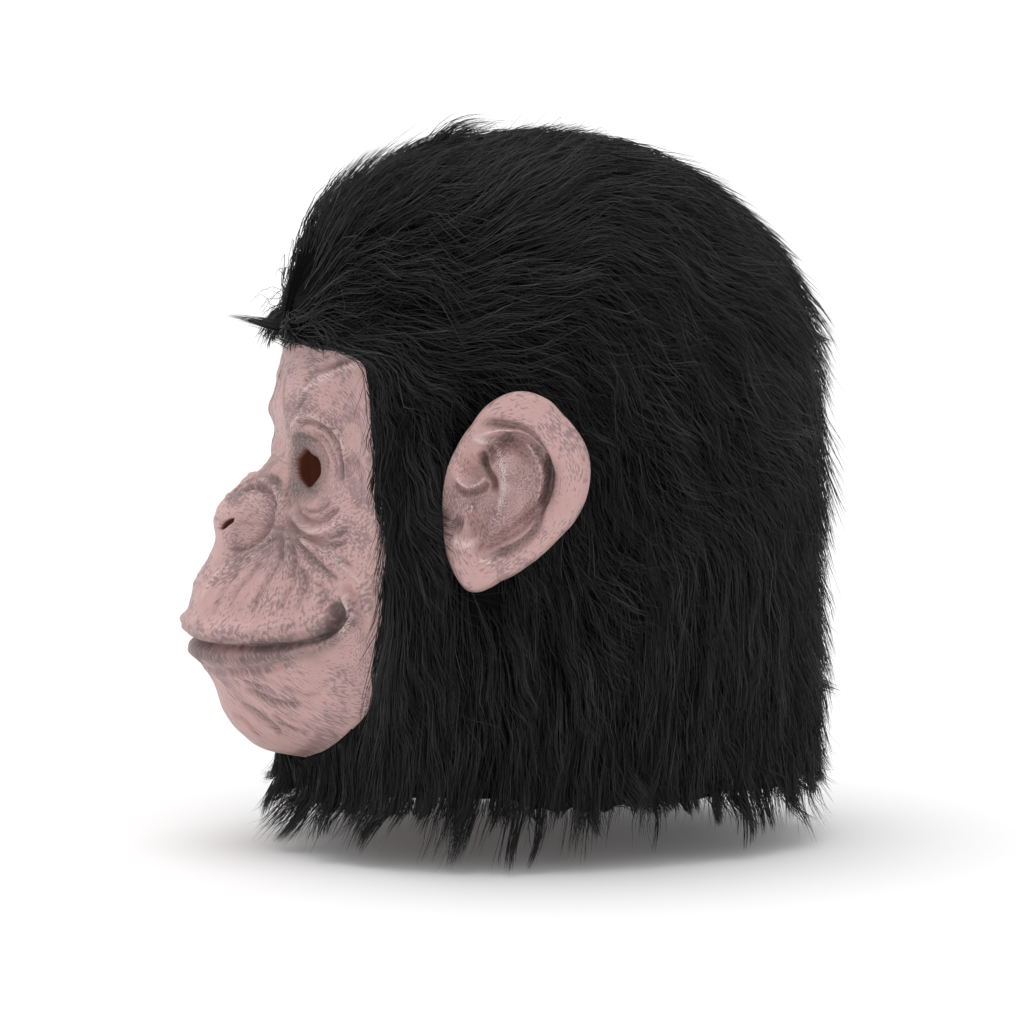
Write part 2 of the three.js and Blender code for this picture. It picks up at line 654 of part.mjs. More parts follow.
// Height of an ear's skin over the plane through its pole, at a place given in shares of earHeight.
function earLift(back, up, share, angle) {
  const freeEdge = smoothStep(-0.95, -0.2, Math.cos(angle * degrees));
  let lift = freeEdge * read(earRim, "out", "lift", share);
  for (const form of earForms) {
    const turn = form.tilt * degrees;
    const long = (up - form.up) * Math.cos(turn) + (back - form.back) * Math.sin(turn);
    const short = (back - form.back) * Math.cos(turn) - (up - form.up) * Math.sin(turn);
    lift += form.lift * Math.exp(-((long / form.long) ** 2) - (short / form.short) ** 2);
  }
  return lift * earRelief + earBowl * share * share * (0.35 + 0.65 * freeEdge);
}

// A place on the ear's front or rear skin, from its share of the way out to the edge and its angle.
function earPoint(frame, share, angle, grow, rear) {
  const radius = read(earOutline, "angle", "radius", angle) * share * (1 + (1.5 * grow) / earHeight);
  const back = Math.cos(angle * degrees) * radius;
  const up = Math.sin(angle * degrees) * radius;
  const front = earLift(back, up, share, angle) + grow;
  const bowl = Math.min(front, earBowl * share * share);
  const height = rear ? bowl - earWall * (1.4 - 0.7 * share) - 2 * grow : front;
  return frame.pole
    .clone()
    .addScaledVector(frame.back, back * earHeight)
    .addScaledVector(frame.up, up * earHeight)
    .addScaledVector(frame.out, height);
}

function earShell(frame, outwards, grow) {
  const angles = Array.from({ length: earFacets }, (_, i) => -90 + (360 * i) / earFacets);
  const ring = (share, rear) => {
    const points = angles.map((angle) => earPoint(frame, share, angle, grow, rear));
    return outwards > 0 ? points.reverse() : points;
  };
  const frontShares = [0.14, 0.28, 0.4, 0.51, 0.59, 0.66, 0.75, 0.87, 0.95, 1];
  const frontRings = frontShares.map((share) => ring(share, false));
  const rearRings = [0.93, 0.6].map((share) => ring(share, true));
  const [start, end] = [earPoint(frame, 0, 0, grow, false), earPoint(frame, 0, 0, grow, true)];
  return loft([...frontRings, ...rearRings], start, end);
}

// A stalk that joins the back of the ear's bowl to the head.
function earRoot(frame, outwards, grow) {
  const ring = (depth) => {
    const points = Array.from({ length: 16 }, (_, i) => {
      const turn = (i / 8) * Math.PI;
      return frame.pole
        .clone()
        .addScaledVector(frame.back, Math.cos(turn) * (earRootWidth / 2 + grow) - earRootWidth / 2)
        .addScaledVector(frame.up, Math.sin(turn) * (earRootHeight / 2 + grow))
        .addScaledVector(frame.out, -depth);
    });
    return outwards > 0 ? points.reverse() : points;
  };
  const middle = (depth) =>
    frame.pole.clone().addScaledVector(frame.back, -earRootWidth / 2).addScaledVector(frame.out, -depth);
  const [near, far] = [earWall, 2 * earStandOff];
  return loft([ring(near), ring(far)], middle(near), middle(far));
}

function makeEar(outwards, seat) {
  const frame = earFrame(outwards);
  return earShell(frame, outwards, 0).add(earRoot(frame, outwards, 0)).subtract(seat);
}

// Hood

function headSolid(grow, bottom) {
  const crown = crownHeight + grow;
  const levels = [bottom, ...hoodLevels.map((share) => share * crown).filter((z) => z > bottom + 5)];
  const rings = levels.map((z) =>
    Array.from({ length: hoodFacets }, (_, i) => headPoint((2 * Math.PI * i) / hoodFacets, z, grow)),
  );
  return loft(rings, new THREE.Vector3(0, 0, bottom), new THREE.Vector3(0, 0, crown));
}

// The hole that the face shows through, as a block in front of the head.
function openingSolid() {
  const shape = new THREE.Shape();
  const grown = 1 + (2 * openingGap) / faceHeight;
  const levels = [0, 0.01, 0.02, 0.037, 0.06, 0.09, 0.14, 0.2, 0.3, 0.42, 0.55, 0.66, 0.78, 0.87, 0.93, 0.97, 1];
  const edge = levels.map((share) => {
    const z = chinHeight + faceHeight * (0.5 + (share - 0.5) * grown);
    return new THREE.Vector2(outlineHalf(z, grown), z);
  });
  shape.setFromPoints([...edge, ...edge.map((p) => new THREE.Vector2(-p.x, p.y)).reverse()]);
  const geometry = new THREE.ExtrudeGeometry(shape, { depth: 2 * headFront, bevelEnabled: false });
  geometry.rotateX(Math.PI / 2);
  return solidOf(geometry);
}

// A number from 0 to 1 that differs from lock to lock, and is the same each time.
function scatter(a, b) {
  const wave = Math.sin(a * 12.9898 + b * 78.233) * 43758.5453;
  return wave - Math.floor(wave);
}

// Where a ray from the middle of the head, at height z, meets the fabric.
function rayToHead(z, ray) {
  let [near, far] = [0, 2 * (headFront + crownHeight)];
  const start = new THREE.Vector3(0, 0, z);
  for (let step = 0; step < 30; step++) {
    const middle = (near + far) / 2;
    if (headForm(start.clone().addScaledVector(ray, middle), hoodOutside) < 0) near = middle;
    else far = middle;
  }
  return start.addScaledVector(ray, near);
}

// A root of fur on the fabric, in one of the rows from the whorl down to the hem. The upper rows are rings
// about the whorl, which lies forward of the top, and they turn level by the head's widest height. The
// lower ones are level sections.
function furRoot(turn, row) {
  if (row <= crownRows) {
    const share = row / crownRows;
    const slant = (share ** 0.9 * Math.PI) / 2;
    const tilt = whorlTilt * degrees * (1 - share * share);
    const ray = new THREE.Vector3(Math.sin(turn), -Math.cos(turn), 0).multiplyScalar(Math.sin(slant));
    ray.z = Math.cos(slant);
    return rayToHead(widestHeight, ray.applyAxisAngle(new THREE.Vector3(1, 0, 0), tilt));
  }
  const z = widestHeight + ((hemHeight - widestHeight) * (row - crownRows)) / sideRows;
  return rayToHead(z, new THREE.Vector3(Math.sin(turn), -Math.cos(turn), 0));
}

// The fur lies low round the ears, which stand out of it, and beside the face.
function furShare(point) {
  const fromEarAlong = (point.y - earPoleBack - 0.05 * earHeight) / (0.42 * earHeight);
  const fromEar = Math.hypot(fromEarAlong, (point.z - earPoleHeight) / (0.5 * earHeight));
  const half = outlineHalf(clamp(point.z, chinHeight, faceTop), 1);
  const fromFace = (Math.abs(point.x) - half) / faceHalfWidth;
  const besideFace = point.y < 0 && point.z < faceTop ? smoothStep(0, 0.35, fromFace) : 1;
  return (0.35 + 0.65 * smoothStep(0.55, 1.25, fromEar)) * (0.3 + 0.7 * besideFace);
}

// One line of fur from whorl to hem: along the ridge of a column of locks, or in the parting between two.
function furLine(turn, column, parting) {
  const roots = [];
  for (let row = 1; row <= crownRows + sideRows; row++) roots.push(furRoot(turn, row));
  const length = lockLength * (0.8 + 0.4 * scatter(column, 4));
  let run = length * scatter(column, 1);
  return roots.map((root, i) => {
    if (i > 0) run += root.distanceTo(roots[i - 1]);
    const normal = headNormal(root, hoodOutside);
    const lift = parting ? partingLift : read(lockShape, "along", "lift", (run / length) % 1);
    const point = root.clone().addScaledVector(normal, furDepth * lift * furShare(root));
    if (i === roots.length - 1 && !parting) {
      const sideways = new THREE.Vector3(-normal.y, normal.x, 0);
      point.addScaledVector(normal, hemSplay * (0.2 + 0.8 * scatter(column, 3)));
      point.addScaledVector(sideways, hemSplay * (scatter(column, 5) - 0.5));
      point.z -= hemHeight * (0.65 + 0.6 * scatter(column, 2));
    }
    return point;
  });
}

// The fur's outer form and the space inside the fabric, both open at the neck.
function furSolid() {
  const lines = [];
  for (let i = 0; i < 2 * lockCount; i++) {
    const turn = (Math.PI * (i + 0.5 * (scatter(i, 6) - 0.5))) / lockCount;
    lines.push(furLine(turn, i, i % 2 === 1));
  }
  const rings = lines[0].map((_, row) => lines.map((line) => line[row]));
  const whorl = furRoot(0, 0);
  whorl.addScaledVector(headNormal(whorl, hoodOutside), furDepth * partingLift);
  return loft(rings.reverse(), new THREE.Vector3(0, 0, hemHeight), whorl);
}

// The tuft in the middle of the forehead, which stands forward over the face.
function forelock() {
  const root = rayToHead(faceTop + 0.4 * furDepth, new THREE.Vector3(0, -1, 0));
  const sections = forelockShape.map((row) => {
    const place = new THREE.Vector3(0, -row.along, row.rise).multiplyScalar(forelockLength);
    const middle = root.clone().add(place);
    const half = (row.width * forelockWidth) / 2;
    const high = (row.thickness * furDepth) / 2;
    const offsets = [[half, 0], [0, -high], [-half, 0], [0, high]];
    return offsets.map(([x, z]) => middle.clone().add(new THREE.Vector3(x, 0, z)));
  });
  const inner = root.clone().add(new THREE.Vector3(0, fabricWall / 2, 0));
  const tip = root.clone().add(new THREE.Vector3(0, -forelockLength, 0));
  return loft(sections.map((ring) => ring.reverse()), inner, tip);
}

function makeHood() {
  const inside = headSolid(hoodInside, -2 * hemHeight);
  const floor = new THREE.BoxGeometry(4 * headHalfWidth, 4 * headFront, 4 * hemHeight).toNonIndexed();
  floor.translate(0, 0, -2 * hemHeight);
  let hood = furSolid().add(forelock()).subtract(inside).subtract(solidOf(floor)).subtract(openingSolid());
  for (const outwards of side) {
    const frame = earFrame(outwards);
    const room = earShell(frame, outwards, earFurGap).add(earRoot(frame, outwards, earFurGap));
    hood = hood.subtract(room.subtract(headSolid(hoodOutside, -hemHeight)));
  }
  return hood;
}

// Assembly

const latexColour = new THREE.MeshStandardMaterial({ color: 0xb99896, roughness: 0.55, metalness: 0 });
const furColour = new THREE.MeshStandardMaterial({ color: 0x1a1a1a, roughness: 0.75, metalness: 0 });

const earSeat = headSolid(hoodOutside + earSeatGap, -hemHeight);
const pieces = [
  ["face_shell", makeFace(), latexColour],
  ["ear_left", makeEar(1, earSeat), latexColour],
  ["ear_right", makeEar(-1, earSeat), latexColour],
  ["fur_hood", makeHood(), furColour],
];

const mask = new THREE.Group();
for (const [name, solid, material] of pieces) {
  const mesh = new THREE.Mesh(geometryOf(solid), material);
  mesh.name = name;
  mask.add(mesh);
}

// The head's axis isn't the middle of the mask's length, so the whole mask shifts to stand on its origin.
const box = new THREE.Box3().setFromObject(mask);
const middle = box.getCenter(new THREE.Vector3());
mask.position.set(-middle.x, -middle.y, -box.min.z);

export default mask;
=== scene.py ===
import bpy
import numpy as np
from mathutils import Matrix, Vector


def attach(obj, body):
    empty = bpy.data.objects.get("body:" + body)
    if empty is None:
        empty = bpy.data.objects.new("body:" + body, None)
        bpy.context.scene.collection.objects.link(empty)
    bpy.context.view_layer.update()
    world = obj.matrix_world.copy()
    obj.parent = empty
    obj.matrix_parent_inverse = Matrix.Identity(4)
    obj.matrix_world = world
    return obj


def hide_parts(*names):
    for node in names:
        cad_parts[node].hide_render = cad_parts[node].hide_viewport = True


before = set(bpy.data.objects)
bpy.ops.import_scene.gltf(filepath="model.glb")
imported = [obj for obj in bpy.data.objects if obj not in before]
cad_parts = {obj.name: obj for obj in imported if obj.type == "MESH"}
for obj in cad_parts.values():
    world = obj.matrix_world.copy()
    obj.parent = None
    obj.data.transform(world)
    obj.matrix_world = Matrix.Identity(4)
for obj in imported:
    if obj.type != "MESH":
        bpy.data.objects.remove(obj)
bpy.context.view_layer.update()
print("frame loaded")

mm = 0.001
degree = np.pi / 180
headAxisY = 5.4  # mm from the origin back to the head's upright axis

# Camera of the photo. Right, up and back are its own axes.
view = {
    "azimuth": 78.0,  # degrees round from the front
    "elevation": 8.0,
    "lens": 400.0,  # mm, on a sensor of 36 mm
    "sensor": 36.0,
    "mmPerPixel": 0.44,  # at the middle of the mask
    "originU": 505.3,  # pixels of the photo where the mask's origin shows
    "originV": 835.0,
    "photoSize": 1024.0,
}
swing, rise = view["azimuth"] * degree, view["elevation"] * degree
viewRight = np.array([np.cos(swing), np.sin(swing), 0.0])
viewUp = np.array([-np.sin(swing) * np.sin(rise), np.cos(swing) * np.sin(rise), np.cos(rise)])
viewBack = np.array([np.sin(swing) * np.cos(rise), -np.cos(swing) * np.cos(rise), np.sin(rise)])
pixelsPerTangent = view["photoSize"] * view["lens"] / view["sensor"]
viewDistance = pixelsPerTangent * view["mmPerPixel"]
middlePixel = view["photoSize"] / 2
aimRight = (middlePixel - view["originU"]) * view["mmPerPixel"]
aimUp = (view["originV"] - middlePixel) * view["mmPerPixel"]
eyePlace = viewRight * aimRight + viewUp * aimUp + viewBack * viewDistance


def toPhoto(points):
    # pixel of each point, given in mm from the head's axis
    away = points + [0, headAxisY, 0] - eyePlace
    depth = -(away @ viewBack)
    u = middlePixel + away @ viewRight / depth * pixelsPerTangent
    v = middlePixel - away @ viewUp / depth * pixelsPerTangent
    return np.stack([u, v], -1)


def fromPhoto(u, v, x=0.0):
    # place in mm from the head's axis that shows at a pixel, x to the side of the middle
    right = (u - view["originU"]) * view["mmPerPixel"]
    up = (view["originV"] - v) * view["mmPerPixel"]
    y = (right - viewRight[0] * x) / viewRight[1]
    return np.array([x, y - headAxisY, (up - viewUp[0] * x - viewUp[1] * y) / viewUp[2]])


# Small tools for numbers and curves

def smoothStep(low, high, value):
    # rises from 0 to 1 between low and high, level at both ends
    u = np.clip((value - low) / (high - low), 0, 1)
    return u * u * (3 - 2 * u)


def bell(distance, width):
    return np.exp(-((distance / width) ** 2))


def readCurve(places, values, at):
    # smooth curve through values at places, its slope at each taken from the two neighbours
    places, values = np.asarray(places, float), np.asarray(values, float)
    last = len(places) - 1
    at = np.clip(at, places[0], places[-1])
    i = np.clip(np.searchsorted(places, at, side="right") - 1, 0, last - 1)
    before, after = np.maximum(np.arange(last + 1) - 1, 0), np.minimum(np.arange(last + 1) + 1, last)
    slope = (values[after] - values[before]) / (places[after] - places[before])
    step = places[i + 1] - places[i]
    u = (at - places[i]) / step
    swell = (1 - u) * slope[i] * step - u * slope[i + 1] * step
    return values[i] + (values[i + 1] - values[i]) * u * u * (3 - 2 * u) + u * (1 - u) * swell


def readTable(table, column, at):
    return readCurve(table["height"], table[column], at)


def smoothPath(points, count):
    # evenly spaced points on a smooth curve through the given ones
    points = np.asarray(points, float)
    lengths = np.linalg.norm(np.diff(points, axis=0), axis=1)
    run = np.r_[0, np.cumsum(lengths) + 1e-6 * np.arange(1, len(points))]
    at = np.linspace(0, run[-1], count)
    return np.stack([readCurve(run, points[:, k], at) for k in range(points.shape[1])], -1)


def distanceToPath(points, path):
    # least distance from each point to a path's straight pieces, and how far along the path that is, 0 to 1
    best, along = np.full(len(points), 1e9), np.zeros(len(points))
    for i in range(len(path) - 1):
        piece = path[i + 1] - path[i]
        share = np.clip((points - path[i]) @ piece / (piece @ piece + 1e-12), 0, 1)
        distance = np.linalg.norm(points - path[i] - share[:, None] * piece, axis=1)
        nearer = distance < best
        best = np.where(nearer, distance, best)
        along = np.where(nearer, (i + share) / (len(path) - 1), along)
    return best, along


noiseSize = 64
noiseTable = np.random.default_rng(3).random((noiseSize, noiseSize))


def valueNoise(a, b):
    # random heights on a square lattice of side 1, joined smoothly
    i, j = np.floor(a).astype(int), np.floor(b).astype(int)
    u, v = smoothStep(0, 1, a - i), smoothStep(0, 1, b - j)

    def corner(di, dj):
        return noiseTable[(i + di) % noiseSize, (j + dj) % noiseSize]

    near = corner(0, 0) * (1 - u) + corner(1, 0) * u
    far = corner(0, 1) * (1 - u) + corner(1, 1) * u
    return (near * (1 - v) + far * v) * 2 - 1


def gridNormals(points, wrap=False):
    # unit normals of a grid of points: across the columns times up the rows
    if wrap:
        across = np.roll(points, -1, axis=1) - np.roll(points, 1, axis=1)
    else:
        across = np.gradient(points, axis=1)
    normal = np.cross(across, np.gradient(points, axis=0))
    return normal / np.maximum(np.linalg.norm(normal, axis=-1, keepdims=True), 1e-9)


# Meshes

def makePiece(name, points, faces, values, material, node):
    # one mesh from points in mm and rows of 3 or 4 corners, with a number or a vector for each point by name
    mesh = bpy.data.meshes.new(name)
    mesh.vertices.add(len(points))
    mesh.vertices.foreach_set("co", ((points + [0, headAxisY, 0]) * mm).astype(np.float32).ravel())
    corners = np.concatenate([rows.ravel() for rows in faces])
    sizes = np.concatenate([np.full(len(rows), rows.shape[1]) for rows in faces])
    starts = np.cumsum(np.r_[0, sizes])[:-1]
    mesh.loops.add(len(corners))
    mesh.loops.foreach_set("vertex_index", corners.astype(np.int32))
    mesh.polygons.add(len(starts))
    mesh.polygons.foreach_set("loop_start", starts.astype(np.int32))
    mesh.update(calc_edges=True)
    mesh.polygons.foreach_set("use_smooth", np.ones(len(starts), bool))
    for label, numbers in values.items():
        isVector = numbers.ndim == 2
        attribute = mesh.attributes.new(label, "FLOAT_VECTOR" if isVector else "FLOAT", "POINT")
        attribute.data.foreach_set("vector" if isVector else "value", numbers.astype(np.float32).ravel())
    mesh.materials.append(material)
    piece = bpy.data.objects.new(name, mesh)
    bpy.context.scene.collection.objects.link(piece)
    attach(piece, "root")
    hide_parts(node)
    print(name, "has", int((sizes - 2).sum()), "triangles")


def wallFaces(keep, wrap=False):
    # faces of an outer and an inner grid of the same size, and of the rims that join them where keep ends
    rows, columns = keep.shape[0] + 1, keep.shape[1] + (0 if wrap else 1)
    index = np.arange(rows * columns).reshape(rows, columns)
    right = np.roll(index, -1, axis=1) if wrap else index[:, 1:]
    left = index if wrap else index[:, :-1]
    quads = np.stack([left[:-1], right[:-1], right[1:], left[1:]], -1)[keep]
    edges = np.concatenate([quads[:, [k, (k + 1) % 4]] for k in range(4)])
    count = rows * columns
    key, back = edges[:, 0] * count + edges[:, 1], edges[:, 1] * count + edges[:, 0]
    rim = edges[~np.isin(key, back)]
    rims = np.stack([rim[:, 1], rim[:, 0], rim[:, 0] + count, rim[:, 1] + count], -1)
    return np.concatenate([quads, quads[:, ::-1] + count, rims])


def onlyUsed(points, faces, values):
    # leaves out the points that no face uses
    used = np.unique(np.concatenate([rows.ravel() for rows in faces]))
    renumber = np.zeros(len(points), int)
    renumber[used] = np.arange(len(used))
    values = {label: numbers[used] for label, numbers in values.items()}
    return points[used], [renumber[rows] for rows in faces], values


# Materials

def colour(text):
    # linear colour of an sRGB hex value
    parts = np.array([int(text[k : k + 2], 16) / 255 for k in (1, 3, 5)])
    linear = np.where(parts <= 0.04045, parts / 12.92, ((parts + 0.055) / 1.055) ** 2.4)
    return (*linear.tolist(), 1.0)


def addNode(tree, kind, inputs={}, output=0, **settings):
    # inputs and output go by name or number, and an input is another node's output, a number or a colour
    node = tree.nodes.new(kind)
    for name, value in settings.items():
        setattr(node, name, value)
    for name, value in inputs.items():
        if isinstance(value, bpy.types.NodeSocket):
            tree.links.new(value, node.inputs[name])
        else:
            node.inputs[name].default_value = value
    return node.outputs[output]


def startMaterial(name, roughness, specular):
    material = bpy.data.materials.new(name)
    material.use_nodes = True
    shader = material.node_tree.nodes["Principled BSDF"]
    shader.inputs["Roughness"].default_value = roughness
    shader.inputs["Specular IOR Level"].default_value = specular
    return material, material.node_tree, shader


def layColours(tree, base, layers):
    # colours laid over a base one after the other, each by its own share
    for share, hue in layers:
        base = addNode(tree, "ShaderNodeMix", {0: share, 6: base, 7: colour(hue)}, 2, data_type="RGBA")
    return base


def makeStreaks(tree, name, perMm, squeeze):
    # noise on a piece's own coordinates in mm, drawn out along the second of them
    place = addNode(tree, "ShaderNodeAttribute", {}, "Vector", attribute_name=name)
    place = addNode(tree, "ShaderNodeMapping", {"Vector": place, "Scale": (1, squeeze, 1)})
    return addNode(tree, "ShaderNodeTexNoise", {"Vector": place, "Scale": perMm, "Detail": 3.0}, "Fac")


# Latex, cast in a mould and painted: a satin pink skin, darker paint in its wrinkles that is partly painted
# shade, paler dry brushed paint on its ridges that is partly a painted highlight, bare red-brown inside with
# a painted glow
latex = {
    "pink": "#bf9794",
    "palePink": "#d3afab",
    "dryBrushAndHighlight": "#ead3cf",
    "washAndShade": "#655a56",
    # paint dry brushed on the ridges, which is partly a painted highlight
    "purple": "#786268",
    "inside": "#7a4030",
    # painted glow of the inside, standing in for light through the latex
    "paintedGlow": "#341a12",
    "roughness": (0.36, 0.25),  # least, and how much the grain adds
    "specular": 0.42,
    "patchesPerMm": 0.07,
    "strokesPerMm": 1.3,
    "strokeSqueeze": 0.34,  # width of a stroke over its length
    "poresPerMm": 2.2,
    "poreShare": 0.35,  # of the pores and the patches in the pattern of paint marks
    "patchShare": 0.8,
    # heights of that pattern between which a paint sets in, and its shares there
    "marked": (1.05, 1.22, 0.0, 0.62),
    "washedAndShaded": (0.88, 1.2, 0.52, 0.94),
    "brushedAndHighlight": (1.25, 0.95, 0.0, 1.0),
    "strokeRelief": 0.8,
    "bumpStrength": 0.7,
    "bumpDepth": 0.5,  # mm
}


def makeLatex():
    material, tree, shader = startMaterial("castLatex", sum(latex["roughness"]), latex["specular"])
    washedAndShaded, paleAndHighlight, inside, roundShare = (addNode(tree, "ShaderNodeAttribute", {}, "Fac", attribute_name=name)
                                        for name in ("washAndShade", "paleAndHighlight", "inside", "roundShare"))
    radial, rings = (makeStreaks(tree, name, latex["strokesPerMm"], latex["strokeSqueeze"])
                     for name in ("strokesRadial", "strokesRound"))
    links = {"Factor": roundShare, "A": radial, "B": rings}
    strokes = addNode(tree, "ShaderNodeMix", links, data_type="FLOAT")
    place = addNode(tree, "ShaderNodeTexCoord", {}, "Object")
    blobs = []
    for perMm in (latex["patchesPerMm"], latex["poresPerMm"]):
        values = {"Vector": place, "Scale": perMm / mm, "Detail": 3.0}
        blobs.append(addNode(tree, "ShaderNodeTexNoise", values, "Fac"))
    patches, pores = blobs
    # short marks of paint, where the strokes, the pores and a patch come together
    grain = addNode(tree, "ShaderNodeMath", {0: pores, 1: latex["poreShare"]}, operation="MULTIPLY")
    mark = addNode(tree, "ShaderNodeMath", {0: strokes, 1: grain}, operation="ADD")
    terms = {0: patches, 1: latex["patchShare"], 2: mark}
    mark = addNode(tree, "ShaderNodeMath", terms, operation="MULTIPLY_ADD")
    shares = []
    for band, painted in (("marked", 1.0), ("washedAndShaded", washedAndShaded), ("brushedAndHighlight", paleAndHighlight)):
        limits = dict(zip(("From Min", "From Max", "To Min", "To Max"), latex[band]))
        limits["Value"] = mark
        share = addNode(tree, "ShaderNodeMapRange", limits, interpolation_type="SMOOTHSTEP")
        shares.append(addNode(tree, "ShaderNodeMath", {0: share, 1: painted}, operation="MULTIPLY"))
    shares = [patches, *shares, inside]
    hues = [latex[name] for name in ("palePink", "purple", "washAndShade", "dryBrushAndHighlight", "inside")]
    skin = layColours(tree, colour(latex["pink"]), zip(shares, hues))
    tree.links.new(skin, shader.inputs["Base Color"])
    # painted glow: an emission on the inside stands in for the little light that comes through the thin
    # latex, so that the inside shows red
    shader.inputs["Emission Color"].default_value = colour(latex["paintedGlow"])
    tree.links.new(inside, shader.inputs["Emission Strength"])
    terms = {0: strokes, 1: latex["strokeRelief"], 2: grain}
    height = addNode(tree, "ShaderNodeMath", terms, operation="MULTIPLY_ADD")
    values = {"Height": height, "Strength": latex["bumpStrength"], "Distance": latex["bumpDepth"] * mm}
    tree.links.new(addNode(tree, "ShaderNodeBump", values), shader.inputs["Normal"])
    leastRough, moreRough = latex["roughness"]
    terms = {0: pores, 1: moreRough, 2: leastRough}
    rough = addNode(tree, "ShaderNodeMath", terms, operation="MULTIPLY_ADD")
    tree.links.new(rough, shader.inputs["Roughness"])
    return material


# Acrylic pile, extruded and combed: near black with a soft grey shine along each fibre
pile = {
    "fibre": "#050506",
    "fibreLight": "#48484a",
    "backing": "#141416",
    "shine": (0.45, 0.28),  # roughness and specular
    "denseShine": (0.8, 0.05),
    "streaksPerMm": 1.1,
    "streakSqueeze": 0.06,  # width of a streak over its length
    "bumpStrength": 0.8,
    "bumpDepth": 1.2,  # mm
}


def makeFibre():
    material, tree, shader = startMaterial("combedAcrylicPile", *pile["shine"])
    tone = addNode(tree, "ShaderNodeAttribute", {}, "Fac", attribute_name="tone")
    # tone holds each strand's own lightness, with painted shade towards its roots
    shade = layColours(tree, colour(pile["fibre"]), [(tone, pile["fibreLight"])])
    tree.links.new(shade, shader.inputs["Base Color"])
    return material


def makeDensePile():
    # fur too deep in the pile to stand out as strands: streaks along the lie of the fur, and knit inside
    material, tree, shader = startMaterial("denseAcrylicPile", *pile["denseShine"])
    streaks = makeStreaks(tree, "lie", pile["streaksPerMm"], pile["streakSqueeze"])
    inside = addNode(tree, "ShaderNodeAttribute", {}, "Fac", attribute_name="inside")
    layers = [(streaks, pile["backing"]), (inside, pile["backing"])]
    shade = layColours(tree, colour(pile["fibre"]), layers)
    tree.links.new(shade, shader.inputs["Base Color"])
    values = {"Height": streaks, "Strength": pile["bumpStrength"], "Distance": pile["bumpDepth"] * mm}
    tree.links.new(addNode(tree, "ShaderNodeBump", values), shader.inputs["Normal"])
    return material


latexSkin, fibreMaterial, peltMaterial = makeLatex(), makeFibre(), makeDensePile()
print("materials made")

# Head form that latex and fabric follow: level sections of a squared ellipse under a dome
head = {"crown": 300.0, "widest": 190.0, "halfWidth": 92.0, "front": 112.0, "back": 118.0, "squareness": 2.3}
headSections = {
    "height": [0.0, 0.067, 0.11, 0.15, 0.22, 0.32, 0.5, 0.63, 0.7, 0.75, 0.85, 1.0],
    "front": [0.765, 0.78, 0.82, 0.89, 0.965, 1.0, 1.0, 0.985, 0.95, 0.925, 0.905, 0.9],
    "back": [0.975, 0.98, 0.985, 0.99, 1.0, 1.0, 1.0, 1.0, 1.0, 1.0, 1.0, 1.0],
    "half": [0.9, 0.905, 0.915, 0.93, 0.95, 0.975, 1.0, 1.0, 0.995, 0.985, 0.97, 0.95],
}


def headSection(z, grow):
    share = z / head["crown"]
    half = head["halfWidth"] * readTable(headSections, "half", share) + grow
    front = head["front"] * readTable(headSections, "front", share) + grow
    back = head["back"] * readTable(headSections, "back", share) + grow
    return half, front, back


def headReach(x, z, grow=0.0):
    # how far in front of the axis the head form is, seen from the front
    power = head["squareness"]
    half, front, _ = headSection(z, grow)
    dome = np.clip((z - head["widest"]) / (head["crown"] + grow - head["widest"]), 0, 1)
    shrink = np.maximum(1 - dome**power, 0) ** (1 / power)
    across = np.clip(np.abs(x) / np.maximum(half * shrink, 1e-6), 0, 1)
    return front * shrink * (1 - across**power) ** (1 / power)


def headForm(points, grow):
    # 0 on the head form, less inside it and more outside
    power = head["squareness"]
    x, y, z = points[..., 0], points[..., 1], points[..., 2]
    half, front, back = headSection(z, grow)
    level = np.abs(x / half) ** power + np.abs(y / np.where(y < 0, front, back)) ** power
    up = np.maximum((z - head["widest"]) / (head["crown"] + grow - head["widest"]), 0)
    return (level + up**power) ** (1 / power) - 1


# Face
face = {
    "chin": 39.0,
    "height": 187.0,
    "halfWidth": 74.0,
    "muzzleDepth": 36.0,
    "ridgeMargin": 2.5,
    "foldDepth": 5.0,
    "flange": 7.5,  # runs on under the fabric
    "wall": 2.6,
    "leastWall": 0.9,  # left behind a groove
    "lineStrength": 1.7,
    "wrinkles": 0.28,  # mm, of the finest ones
    "lumps": 0.35,
    "lidRim": 1.1,
    "rimDrop": 0.7,  # mm that the skin rolls in at the edge of a hole
    "mouthHollow": 0.72,  # in fold depths, inside the lips
    "mouthHeight": 52.0,
    "mouthRise": 13.0,
    "mouthHook": 6.0,
    "mouthHalfWidth": 62.0,
    "columns": 186,
    "rows": 226,
}
# Half widths up the face, as shares
faceOutline = {
    "height": [0, 0.01, 0.037, 0.08, 0.139, 0.203, 0.31, 0.417, 0.556, 0.66, 0.797, 0.87, 0.93, 0.97, 1.0],
    "half": [0.2, 0.32, 0.54, 0.725, 0.86, 0.92, 0.965, 0.98, 1.0, 0.99, 0.95, 0.925, 0.88, 0.81, 0.58],
}
# The ridge of nose, muzzle and chin: how far it stands out, its half width and how flat its top is
ridgeSections = {
    "height": [0, 0.006, 0.0176, 0.051, 0.093, 0.136, 0.186, 0.23, 0.31, 0.36, 0.4225, 0.503, 0.5545, 0.594,
               0.636, 0.69, 0.733, 0.775, 0.86, 1.0],
    "reach": [0, 0.24, 0.42, 0.57, 0.63, 0.65, 0.73, 0.86, 0.95, 0.92, 0.81, 0.61, 0.585, 0.51,
              0.34, 0.0, -0.18, -0.12, -0.06, 0],
    "half": [0.5, 0.52, 0.55, 0.57, 0.58, 0.58, 0.57, 0.56, 0.56, 0.52, 0.45, 0.36, 0.29, 0.25,
             0.21, 0.18, 0.22, 0.4, 0.45, 0.5],
    "power": [2.4, 2.4, 2.4, 2.6, 2.8, 3.0, 3.2, 3.4, 3.5, 3.3, 3.0, 2.8, 2.6, 2.4,
              2.2, 2.0, 2.0, 2.0, 2.0, 2.0],
}
